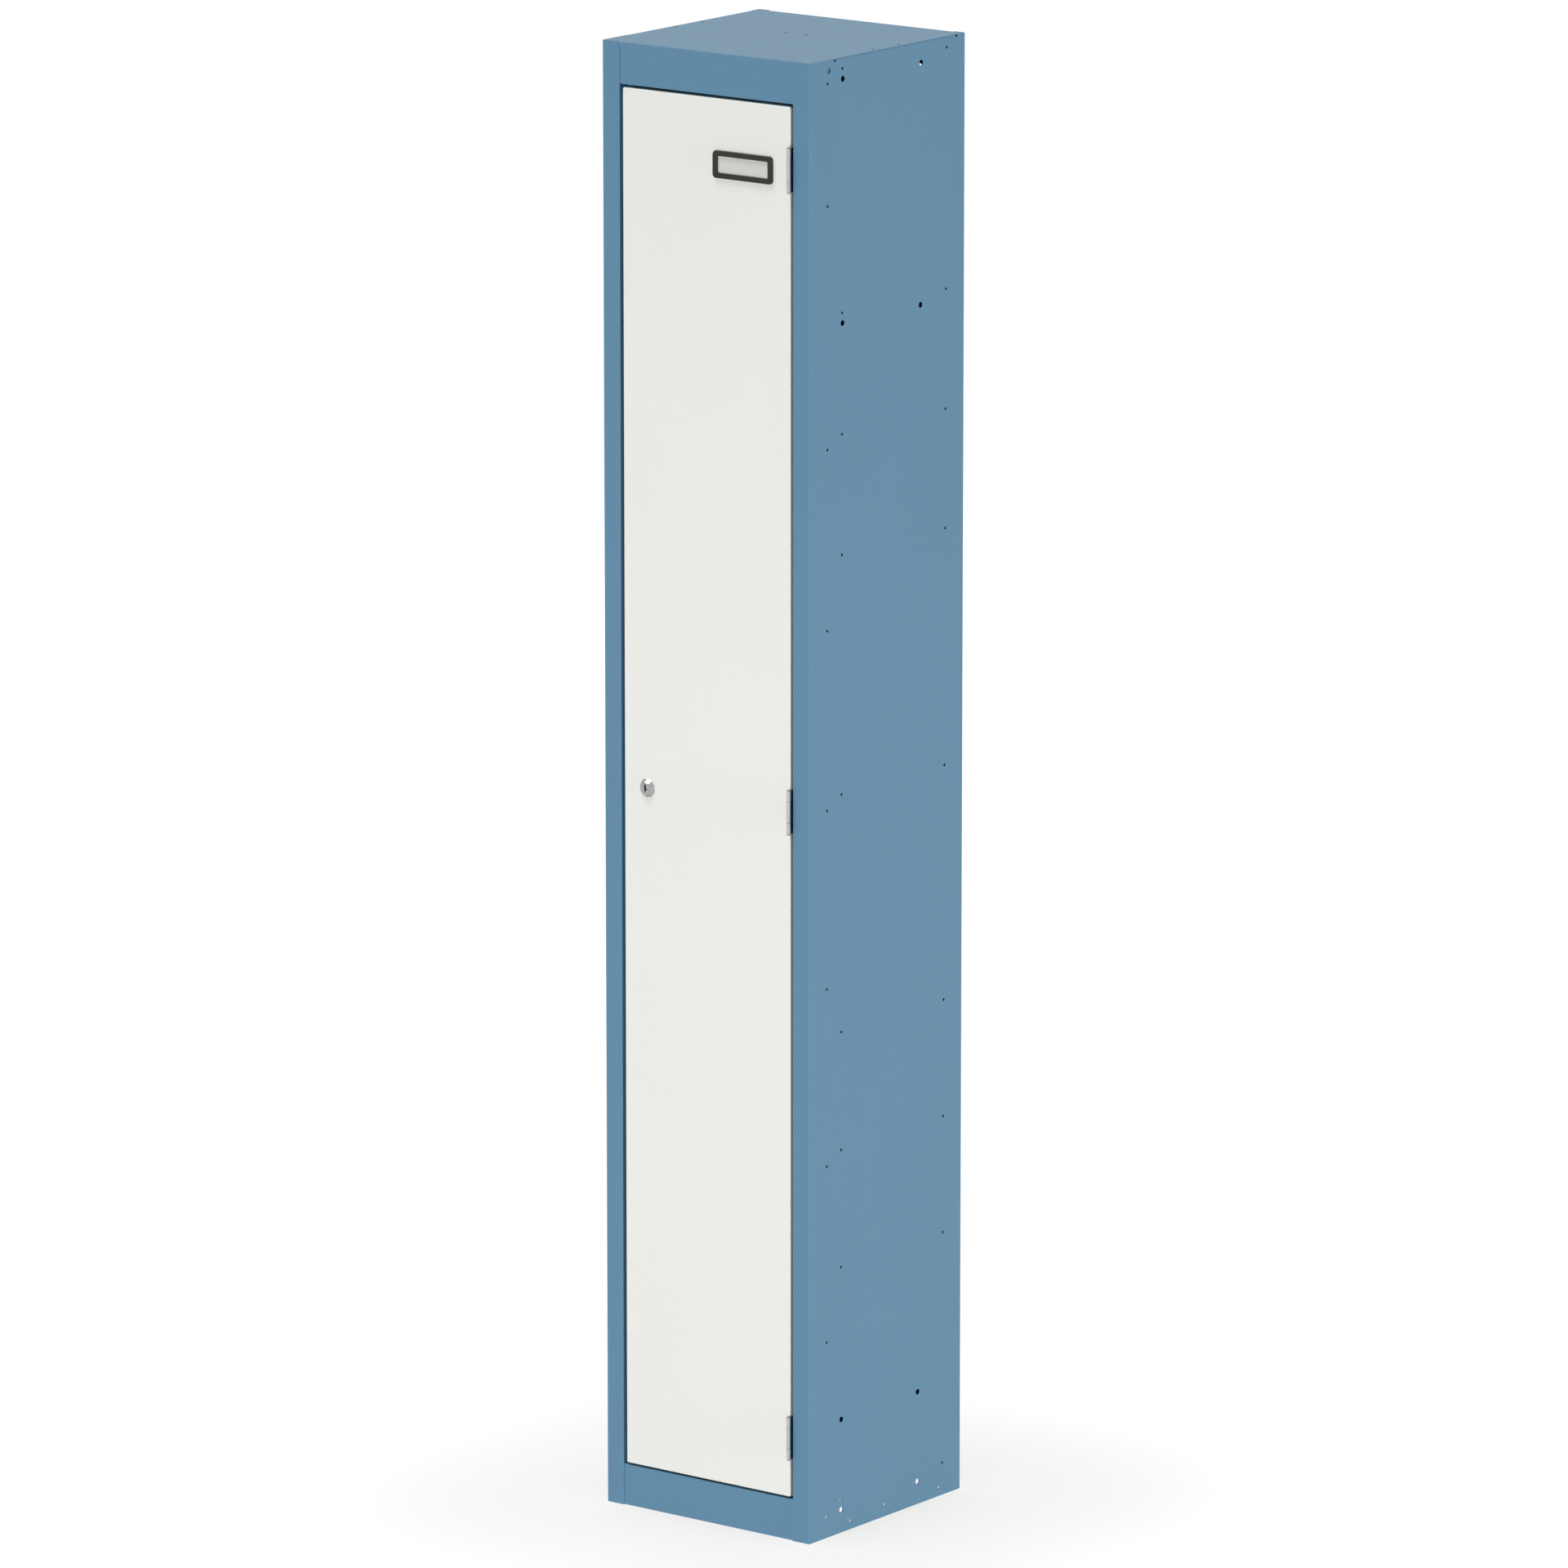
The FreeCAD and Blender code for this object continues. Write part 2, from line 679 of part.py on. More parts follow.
def floor_panel():
    """The raised floor with its folded-down plinth, side flanges and rear flange."""
    body = new_body("floor_panel")
    plinth_front = FRONT + GAUGE
    plinth_back = plinth_front + D.plinth_return
    level = D.plinth_height
    rear = BACK_FRONT
    section = [
        (rear, level - D.rear_drop),
        (rear, level, OUTER_BEND),
        (plinth_front, level, OUTER_BEND),
        (plinth_front, ZERO, OUTER_BEND),
        (plinth_back, ZERO),
        (plinth_back, GAUGE),
        (plinth_front + GAUGE, GAUGE, INNER_BEND),
        (plinth_front + GAUGE, level - GAUGE, INNER_BEND),
        (rear - GAUGE, level - GAUGE, INNER_BEND),
        (rear - GAUGE, level - D.rear_drop),
    ]
    slab(body, "YZ_Plane", -PANEL_HALF, PANEL_HALF, lambda s: folded(s, section))
    for side in (-1, 1):
        low_y, high_y = FRONT + D.floor_flange_inset, REAR - D.floor_flange_inset
        edge_flange(body, side, level, D.floor_flange, low_y, high_y)
    flange_holes(body, SHELF_ROWS[0])
    return body


def hat_shelf():
    """The upper shelf: a sheet with both sides and the front edge folded down."""
    body = new_body("hat_shelf")
    root = SHELF_FRONT + OUTER_BEND + GAUGE
    rear = BACK_FRONT
    inner = WALL_INSIDE - OUTER_BEND - GAUGE
    lip = [
        (rear, SHELF_TOP),
        (SHELF_FRONT, SHELF_TOP, OUTER_BEND),
        (SHELF_FRONT, SHELF_TOP - D.shelf_lip),
        (SHELF_FRONT + GAUGE, SHELF_TOP - D.shelf_lip),
        (SHELF_FRONT + GAUGE, SHELF_TOP - GAUGE, INNER_BEND),
        (rear, SHELF_TOP - GAUGE),
    ]
    slab(body, "YZ_Plane", -inner, inner, lambda s: folded(s, lip))
    for side in (-1, 1):
        edge_flange(body, side, SHELF_TOP, D.shelf_flange, root, rear)
    flange_holes(body, HAT_SHELF_ROW)
    cut(body, "XY_Plane", SHELF_TOP - GAUGE * 2, SHELF_TOP + GAUGE, hook_holes)
    return body


def coat_hook():
    """A double coat hook: a riveted plate under the shelf with two strip prongs that curve out and up."""
    body = new_body("coat_hook")
    under_shelf = SHELF_TOP - GAUGE
    plate_low = under_shelf - D.hook_plate_gauge
    plate = rounded_box(
        -(D.hook_plate_length / 2),
        D.hook_plate_length / 2,
        D.hook_hole_offset - D.hook_plate_width / 2,
        D.hook_hole_offset + D.hook_plate_width / 2,
        D.hook_plate_corner,
    )
    slab(body, "XY_Plane", plate_low, under_shelf, lambda s: folded(s, plate))
    cut(body, "XY_Plane", plate_low - GAUGE, under_shelf + GAUGE, hook_holes)
    for side in (-1, 1):
        prong(body, side, plate_low)
    return body


def prong(body, side, plate_low):
    """One hook prong, bent from strip: down from the plate, round under the loop and up to a round tip."""
    gauge, inner = D.prong_gauge, D.prong_bend_radius
    outer = inner + gauge
    near, far = D.prong_start, D.prong_start + outer * 2 + D.prong_flat
    low = plate_low - D.prong_drop
    tip = low + outer + D.prong_rise
    strip = [
        (near, plate_low),
        (near, low, outer),
        (far, low, outer),
        (far, tip),
        (far - gauge, tip),
        (far - gauge, low + gauge, inner),
        (near + gauge, low + gauge, inner),
        (near + gauge, plate_low),
    ]
    low_y = D.hook_hole_offset - D.prong_width / 2
    slab(body, "XZ_Plane", low_y, low_y + D.prong_width, lambda s: folded(s, mirrored(side, strip)))
    round_off(body, lambda edge: ends_at(edge, tip) and runs_along_x(edge), D.prong_tip_radius)


def ends_at(edge, level):
    """Whether an edge lies at one height."""
    return all(abs(vertex.Z - level.value) < TOLERANCE for vertex in edge.Vertexes)


def runs_along_x(edge):
    """Whether an edge is a straight line along X."""
    return isinstance(edge.Curve, Part.Line) and abs(abs(edge.Curve.Direction.x) - 1) < TOLERANCE


def round_off(body, wanted, radius):
    """Rounds the edges of a body that a test picks out."""
    blank = body.Tip
    names = [f"Edge{index}" for index, edge in enumerate(body.Shape.Edges, start=1) if wanted(edge)]
    fillet = body.newObject("PartDesign::Fillet", f"{body.Name}_round")
    fillet.Base = (blank, names)
    fillet.setExpression("Radius", radius.text)
    DOCUMENT.recompute()


def hook_rivets():
    """Two rivets that hold the hook plate under the shelf, headed on both sides."""
    shank_radius = D.hook_hole_radius - D.rivet_clearance
    plate_low = SHELF_TOP - GAUGE - D.hook_plate_gauge
    low_end = plate_low - D.rivet_head_height
    high_end = SHELF_TOP + D.rivet_head_height
    solids = []
    for side, name in ((-1, "left_rivet"), (1, "right_rivet")):
        body = new_body(name)
        x = D.hook_hole_half_spacing * side

        def disc(radius):
            return lambda s: circle(s, x, D.hook_hole_offset, radius)

        slab(body, "XY_Plane", low_end, high_end, disc(shank_radius))
        slab(body, "XY_Plane", SHELF_TOP, high_end, disc(D.rivet_head_radius))
        slab(body, "XY_Plane", low_end, plate_low, disc(D.rivet_head_radius))
        bevel_rims(body, (low_end, high_end), D.rivet_head_radius, D.rivet_head_height * BEVEL_SHARE)
        solids.append(body)
    return group("hook_rivets", solids)


def bevel_rims(body, levels, rim_radius, size):
    """Bevels the outer rims of an upright turned piece at the given levels."""
    blank = body.Tip
    names = []
    for index, edge in enumerate(body.Shape.Edges, start=1):
        round_edge = isinstance(edge.Curve, Part.Circle)
        if round_edge and abs(edge.Curve.Radius - rim_radius.value) < TOLERANCE:
            if any(ends_at(edge, level) for level in levels):
                names.append(f"Edge{index}")
    bevel = body.newObject("PartDesign::Chamfer", f"{body.Name}_bevel")
    bevel.Base = (blank, names)
    bevel.setExpression("Size", size.text)
    DOCUMENT.recompute()


def group(label, solids):
    """Several like pieces under one name."""
    compound = DOCUMENT.addObject("Part::Compound", label)
    compound.Label = label
    compound.Links = solids
    return compound


def door_buffers():
    """Three rubber discs on the stop lip, which the closed door rests against."""
    thickness = STOP_FRONT - DOOR_BACK - D.buffer_clearance
    x = DOOR_LEFT + D.buffer_radius
    heights = (
        DOOR_LOW + D.buffer_bottom_offset,
        DOOR_MIDDLE + D.buffer_bottom_offset,
        DOOR_HIGH - D.buffer_top_offset,
    )
    discs = []
    for name, height in zip(("low_buffer", "middle_buffer", "high_buffer"), heights):
        disc = DOCUMENT.addObject("Part::Cone", name)
        disc.setExpression("Radius1", D.buffer_radius.text)
        disc.setExpression("Radius2", D.buffer_tip_radius.text)
        disc.setExpression("Height", thickness.text)
        disc.Placement.Rotation = FreeCAD.Rotation(FreeCAD.Vector(1, 0, 0), QUARTER_TURN)
        disc.setExpression("Placement.Base.x", x.text)
        disc.setExpression("Placement.Base.y", STOP_FRONT.text)
        disc.setExpression("Placement.Base.z", height.text)
        discs.append(disc)
    return group("door_buffers", discs)


def hinge_centres():
    """The heights of the three hinges, by name."""
    return (
        ("upper", DOOR_HIGH - D.hinge_end_offset),
        ("middle", DOOR_MIDDLE),
        ("lower", DOOR_LOW + D.hinge_end_offset),
    )


def knuckle(radius):
    """A disc about the hinge axis."""
    return lambda s: circle(s, HINGE_X, HINGE_Y, radius)


def frame_leaf(name, centre):
    """The cabinet's half of a hinge: a leaf inside the stile's return, and a neck to the middle knuckle."""
    body = new_body(f"{name}_hinge_frame_leaf")
    low, high = centre - D.hinge_height / 2, centre + D.hinge_height / 2
    middle_low, middle_high = centre - D.middle_knuckle / 2, centre + D.middle_knuckle / 2
    face = STILE_EDGE - D.hinge_leaf_gauge
    leaf_front = FRONT + D.hinge_leaf_gauge * 2
    leaf = box_corners(face, STILE_EDGE, leaf_front, FRONT + D.frame_leaf_depth)
    neck = box_corners(face, STILE_EDGE, HINGE_Y, leaf_front + D.hinge_leaf_gauge)
    slab(body, "XY_Plane", low, high, lambda s: folded(s, leaf))
    slab(body, "XY_Plane", middle_low, middle_high, lambda s: folded(s, neck))
    slab(body, "XY_Plane", middle_low, middle_high, knuckle(D.knuckle_radius))
    cut(body, "XY_Plane", low - GAUGE, high + GAUGE, knuckle(D.pin_radius + D.pin_clearance))
    return body


def door_leaf(name, centre):
    """The door's half of a hinge: a leaf on the pan's edge that ends in an upper and a lower knuckle."""
    body = new_body(f"{name}_hinge_door_leaf")
    low, high = centre - D.hinge_height / 2, centre + D.hinge_height / 2
    gap_low = centre - D.middle_knuckle / 2 - D.knuckle_gap
    gap_high = centre + D.middle_knuckle / 2 + D.knuckle_gap
    leaf = box_corners(DOOR_RIGHT, DOOR_RIGHT + D.hinge_leaf_gauge, HINGE_Y, FRONT + D.door_leaf_depth)
    slab(body, "XY_Plane", low, high, lambda s: folded(s, leaf))
    slab(body, "XY_Plane", gap_high, high, knuckle(D.knuckle_radius))
    slab(body, "XY_Plane", low, gap_low, knuckle(D.knuckle_radius))
    sweep = D.knuckle_radius + D.knuckle_sweep_gap
    cut(body, "XY_Plane", gap_low, gap_high, knuckle(sweep))
    cut(body, "XY_Plane", low - GAUGE, high + GAUGE, knuckle(D.pin_radius + D.pin_clearance))
    return body


def hinge_pin(name, centre):
    """A pin through the three knuckles of a hinge, headed at both ends."""
    body = new_body(f"{name}_hinge_pin")
    high = centre + D.hinge_height / 2 + D.knuckle_gap
    low = centre - D.hinge_height / 2 - D.knuckle_gap
    top_end, low_end = high + D.pin_head_height, low - D.pin_head_height
    slab(body, "XY_Plane", low_end, top_end, knuckle(D.pin_radius))
    slab(body, "XY_Plane", high, top_end, knuckle(D.pin_head_radius))
    slab(body, "XY_Plane", low_end, low, knuckle(D.pin_head_radius))
    bevel_rims(body, (low_end, top_end), D.pin_head_radius, D.pin_head_height * BEVEL_SHARE)
    return body


def peg_places():
    """The four pegs of the card holder, near its corners."""
    rise = D.holder_height / 2 - D.peg_edge
    return [
        (HOLDER_X + D.peg_half_spacing * side, HOLDER_Z + rise * level)
        for side in (-1, 1)
        for level in (-1, 1)
    ]


def door_panel():
    """The door, a folded pan: skin, four edges and a lip round the back, with the lock and peg holes."""
    body = new_body("door_panel")
    lip_front = DOOR_BACK - GAUGE
    upright_section = [
        (DOOR_LEFT + D.door_lip, DOOR_BACK),
        (DOOR_LEFT, DOOR_BACK, OUTER_BEND),
        (DOOR_LEFT, FRONT, OUTER_BEND),
        (DOOR_RIGHT, FRONT, OUTER_BEND),
        (DOOR_RIGHT, DOOR_BACK, OUTER_BEND),
        (DOOR_RIGHT - D.door_lip, DOOR_BACK),
        (DOOR_RIGHT - D.door_lip, lip_front),
        (DOOR_RIGHT - GAUGE, lip_front, INNER_BEND),
        (DOOR_RIGHT - GAUGE, DOOR_SKIN_BACK, INNER_BEND),
        (DOOR_LEFT + GAUGE, DOOR_SKIN_BACK, INNER_BEND),
        (DOOR_LEFT + GAUGE, lip_front, INNER_BEND),
        (DOOR_LEFT + D.door_lip, lip_front),
    ]
    level_section = [
        (DOOR_BACK, DOOR_LOW + D.door_lip),
        (DOOR_BACK, DOOR_LOW, OUTER_BEND),
        (FRONT, DOOR_LOW, OUTER_BEND),
        (FRONT, DOOR_HIGH, OUTER_BEND),
        (DOOR_BACK, DOOR_HIGH, OUTER_BEND),
        (DOOR_BACK, DOOR_HIGH - D.door_lip),
        (lip_front, DOOR_HIGH - D.door_lip),
        (lip_front, DOOR_HIGH - GAUGE, INNER_BEND),
        (DOOR_SKIN_BACK, DOOR_HIGH - GAUGE, INNER_BEND),
        (DOOR_SKIN_BACK, DOOR_LOW + GAUGE, INNER_BEND),
        (lip_front, DOOR_LOW + GAUGE, INNER_BEND),
        (lip_front, DOOR_LOW + D.door_lip),
    ]
    low, high = DOOR_LOW + OUTER_BEND, DOOR_HIGH - OUTER_BEND
    slab(body, "XY_Plane", low, high, lambda s: folded(s, upright_section))
    left, right = DOOR_LEFT + OUTER_BEND, DOOR_RIGHT - OUTER_BEND
    slab(body, "YZ_Plane", left, right, lambda s: folded(s, level_section))

    def holes(sketch):
        circle(sketch, LOCK_X, LOCK_Z, D.barrel_radius + D.barrel_clearance)
        for x, z in peg_places():
            circle(sketch, x, z, D.peg_radius + D.peg_clearance)

    cut(body, "XZ_Plane", FRONT - GAUGE, FRONT + GAUGE * 2, holes)
    return body


def door_stiffener():
    """An upright hat section welded behind the door skin, below the card holder."""
    body = new_body("door_stiffener")
    middle = (DOOR_LEFT + DOOR_RIGHT) / 2
    left, right = middle - D.stiffener_width / 2, middle + D.stiffener_width / 2
    seat = DOOR_SKIN_BACK
    crest = seat + D.stiffener_depth
    hat = [
        (left - D.stiffener_flange, seat),
        (left + GAUGE, seat, OUTER_BEND),
        (left + GAUGE, crest - GAUGE, INNER_BEND),
        (right - GAUGE, crest - GAUGE, INNER_BEND),
        (right - GAUGE, seat, OUTER_BEND),
        (right + D.stiffener_flange, seat),
        (right + D.stiffener_flange, seat + GAUGE),
        (right, seat + GAUGE, INNER_BEND),
        (right, crest, OUTER_BEND),
        (left, crest, OUTER_BEND),
        (left, seat + GAUGE, INNER_BEND),
        (left - D.stiffener_flange, seat + GAUGE),
    ]
    low, high = DOOR_LOW + D.stiffener_bottom_offset, DOOR_HIGH - D.stiffener_top_offset
    slab(body, "XY_Plane", low, high, lambda s: folded(s, hat))
    return body


def card_holder():
    """A moulded frame for a name card: an open window, a card slot from the hinge side and four pegs."""
    body = new_body("card_holder")
    left, right = HOLDER_X - D.holder_width / 2, HOLDER_X + D.holder_width / 2
    low, high = HOLDER_Z - D.holder_height / 2, HOLDER_Z + D.holder_height / 2
    window_left, window_right = HOLDER_X - D.window_width / 2, HOLDER_X + D.window_width / 2
    window_low, window_high = HOLDER_Z - D.window_height / 2, HOLDER_Z + D.window_height / 2

    def frame(sketch):
        folded(sketch, rounded_box(left, right, low, high, D.holder_corner))
        folded(sketch, rounded_box(window_left, window_right, window_low, window_high, D.window_corner))

    slot = box_corners(
        window_left - D.card_slot_lap,
        right + GAUGE,
        window_low - D.card_slot_lap,
        window_high + D.card_slot_lap,
    )

    def pegs(sketch):
        for x, z in peg_places():
            circle(sketch, x, z, D.peg_radius)

    slab(body, "XZ_Plane", FRONT - D.holder_depth, FRONT, frame)
    cut(body, "XZ_Plane", FRONT - D.card_slot_depth, FRONT + GAUGE, lambda s: folded(s, slot))
    slab(body, "XZ_Plane", FRONT - D.card_slot_depth, FRONT + D.peg_length, pegs)
    return body


def at_lock(radius):
    """A disc about the lock's axis."""
    return lambda s: circle(s, LOCK_X, LOCK_Z, radius)


def lock_body():
    """The fixed part of the lock: a faceted collar on the door skin and a barrel through it."""
    body = new_body("lock_body")
    foot = sketch_at(body, "XZ_Plane", FRONT)
    polygon(foot, regular_polygon(LOCK_X, LOCK_Z, D.collar_radius, COLLAR_FACETS))
    face = sketch_at(body, "XZ_Plane", COLLAR_FACE)
    polygon(face, regular_polygon(LOCK_X, LOCK_Z, D.collar_face_radius, COLLAR_FACETS))
    collar = body.newObject("PartDesign::AdditiveLoft", "lock_body_collar")
    collar.Profile = foot
    collar.Sections = [face]
    collar.Ruled = True
    DOCUMENT.recompute()
    slab(body, "XZ_Plane", FRONT, BARREL_BACK, at_lock(D.barrel_radius))
    bore = D.plug_radius + D.plug_clearance
    cut(body, "XZ_Plane", COLLAR_FACE - GAUGE, BARREL_BACK + GAUGE, at_lock(bore))
    return body


def lock_nut():
    """The hexagonal nut that clamps the lock to the door skin from behind."""
    body = new_body("lock_nut")

    def ring(sketch):
        polygon(sketch, regular_polygon(LOCK_X, LOCK_Z, D.nut_radius, NUT_SIDES))
        circle(sketch, LOCK_X, LOCK_Z, D.barrel_radius + D.barrel_clearance)

    slab(body, "XZ_Plane", DOOR_SKIN_BACK, DOOR_SKIN_BACK + D.nut_thickness, ring)
    return body


def square_tail(size):
    """The corners of the square that turns the cam."""
    half = size / 2
    return box_corners(LOCK_X - half, LOCK_X + half, LOCK_Z - half, LOCK_Z + half)


def keyway():
    """The keyway's outline: both sides of its centre line, half a slot width away."""
    near, far = [], []
    half = D.key_slot_width / 2
    for index, (across, up) in enumerate(KEYWAY):
        before = KEYWAY[max(index - 1, 0)]
        after = KEYWAY[min(index + 1, len(KEYWAY) - 1)]
        heading = math.atan2(after[1] - before[1], after[0] - before[0])
        side_x, side_z = -math.sin(heading), math.cos(heading)
        x, z = LOCK_X + D.plug_radius * across, LOCK_Z + D.plug_radius * up
        near.append((x + half * side_x, z + half * side_z))
        far.append((x - half * side_x, z - half * side_z))
    return near + far[::-1]


def lock_plug():
    """The turning plug: a keyway in its face, a square tail for the cam and a screw hole in the tail."""
    body = new_body("lock_plug")
    slab(body, "XZ_Plane", COLLAR_FACE, CAM_FRONT, at_lock(D.plug_radius))
    slab(body, "XZ_Plane", CAM_FRONT, CAM_BACK, lambda s: folded(s, square_tail(D.tail_size)))
    mouth = COLLAR_FACE - GAUGE
    cut(body, "XZ_Plane", mouth, COLLAR_FACE + D.key_slot_depth, lambda s: polygon(s, keyway()))
    screw_hole = D.screw_radius + D.plug_clearance
    cut(body, "XZ_Plane", CAM_BACK - D.screw_depth, CAM_BACK + GAUGE, at_lock(screw_hole))
    return body


def lock_cam():
    """The cam on the plug's tail. At rest it points down, clear of the stop lip."""
    body = new_body("lock_cam")
    half = D.cam_width / 2
    blade = rounded_box(LOCK_X - half, LOCK_X + half, LOCK_Z - D.cam_reach, LOCK_Z + half, D.cam_corner)

    def plate(sketch):
        folded(sketch, blade)
        folded(sketch, square_tail(D.tail_size + D.plug_clearance * 2))

    slab(body, "XZ_Plane", CAM_FRONT, CAM_BACK, plate)
    return body


def cam_screw():
    """The slotted screw that holds the cam on the plug."""
    body = new_body("cam_screw")
    head_back = CAM_BACK + D.screw_head_height
    slab(body, "XZ_Plane", CAM_BACK - D.screw_depth, head_back, at_lock(D.screw_radius))
    slab(body, "XZ_Plane", CAM_BACK, head_back, at_lock(D.screw_head_radius))
    half, reach = D.screw_slot_width / 2, D.screw_head_radius + GAUGE
    slot = box_corners(LOCK_X - reach, LOCK_X + reach, LOCK_Z - half, LOCK_Z + half)
    cut(body, "XZ_Plane", head_back - D.screw_slot_depth, head_back + GAUGE, lambda s: folded(s, slot))
    return body


def build():
    """Every sub-part of the locker, in the order in which it goes together."""
    pieces = [
        side_panel("left_side_panel", -1, True),
        side_panel("right_side_panel", 1, False),
        back_panel(),
        top_panel(),
        floor_panel(),
        hat_shelf(),
        coat_hook(),
        hook_rivets(),
        door_buffers(),
        door_panel(),
        door_stiffener(),
        card_holder(),
        lock_body(),
        lock_nut(),
        lock_plug(),
        lock_cam(),
        cam_screw(),
    ]
    for name, centre in hinge_centres():
        pieces.append(frame_leaf(name, centre))
        pieces.append(door_leaf(name, centre))
        pieces.append(hinge_pin(name, centre))
    return pieces


def check(pieces):
    """Stops unless every object is up to date and every sub-part is sound."""
    for item in DOCUMENT.Objects:
        if "Invalid" in item.State or "Error" in item.State:
            raise RuntimeError(f"{item.Label} is not up to date: {item.State}")
    for piece in pieces:
        if piece.Shape.isNull() or not piece.Shape.isValid() or not piece.Shape.Solids:
            raise RuntimeError(f"{piece.Label} has no sound shape")


PIECES = build()
DOCUMENT.recompute()
check(PIECES)
os.makedirs("parts", exist_ok=True)
for sub_part in PIECES:
    sub_part.Shape.exportStep(f"parts/{sub_part.Label}.step")
    print(f"{sub_part.Label}: {len(sub_part.Shape.Solids)} solid, {sub_part.Shape.Volume:.0f} mm3")
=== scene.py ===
"""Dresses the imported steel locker.

Adds paint and metal finishes, small modelled details, the studio light and the camera.
"""

import logging
import math
from collections.abc import Callable
from dataclasses import dataclass
from enum import Enum

import bmesh
import bpy
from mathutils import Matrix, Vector


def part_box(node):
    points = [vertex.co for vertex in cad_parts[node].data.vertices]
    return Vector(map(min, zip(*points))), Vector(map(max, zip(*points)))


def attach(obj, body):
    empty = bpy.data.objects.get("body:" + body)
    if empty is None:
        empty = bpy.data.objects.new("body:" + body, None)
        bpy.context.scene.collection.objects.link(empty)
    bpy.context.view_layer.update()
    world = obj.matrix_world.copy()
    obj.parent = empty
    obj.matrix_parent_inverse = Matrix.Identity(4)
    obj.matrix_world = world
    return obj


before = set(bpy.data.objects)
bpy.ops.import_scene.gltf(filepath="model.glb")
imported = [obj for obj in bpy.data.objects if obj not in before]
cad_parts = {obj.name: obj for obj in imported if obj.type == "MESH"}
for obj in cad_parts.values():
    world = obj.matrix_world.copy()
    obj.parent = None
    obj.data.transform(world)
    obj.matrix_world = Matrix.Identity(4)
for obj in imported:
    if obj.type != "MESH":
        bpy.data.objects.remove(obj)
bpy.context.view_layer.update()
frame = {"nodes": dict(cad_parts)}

LOG = logging.getLogger("locker")

Colour = tuple[float, float, float]
Triple = tuple[float, float, float]
Range = tuple[float, float]
Node = bpy.types.Node
Socket = bpy.types.NodeSocket
Material = bpy.types.Material
Piece = bpy.types.Object
Feed = Socket | float

MM = 0.001
WHITE = (1.0, 1.0, 1.0, 1.0)
SAME_SIZE: Triple = (1.0, 1.0, 1.0)
FACING_FRONT: Triple = (math.pi / 2, 0.0, 0.0)

# A noise pattern lies mostly in this range, and the sum of two patterns in the ranges below it.
NOISE_RANGE: Range = (0.3, 0.7)
NOISE_PAIR_RANGE: Range = (0.7, 1.3)
NOISE_PAIR_CORE: Range = (0.8, 1.2)

# The share of a round mark's radius that lies inside its soft rim.
MARK_CORE = 0.55

# The Mix node has one set of sockets for each kind of value, and these are its colours.
MIX_COLOURS = (6, 7)
MIX_RESULT = 2


class Slot(Enum):
    """The record's material slots that the new pieces belong to."""

    BLUE = "blue_coat"
    WHITE = "white_coat"
    STEEL = "bright_steel"
    LOCK = "lock_chrome"


class Body(Enum):
    """The bodies that carry the new pieces."""

    CABINET = "cabinet"
    DOOR = "door"


def toned(colour: Colour, factor: float) -> Colour:
    """Returns a colour, darker or paler by a factor."""
    return tuple(channel * factor for channel in colour)


def around(middle: float, reach: float) -> Range:
    """Returns the range that reaches equally far to both sides of a value."""
    return middle - reach, middle + reach


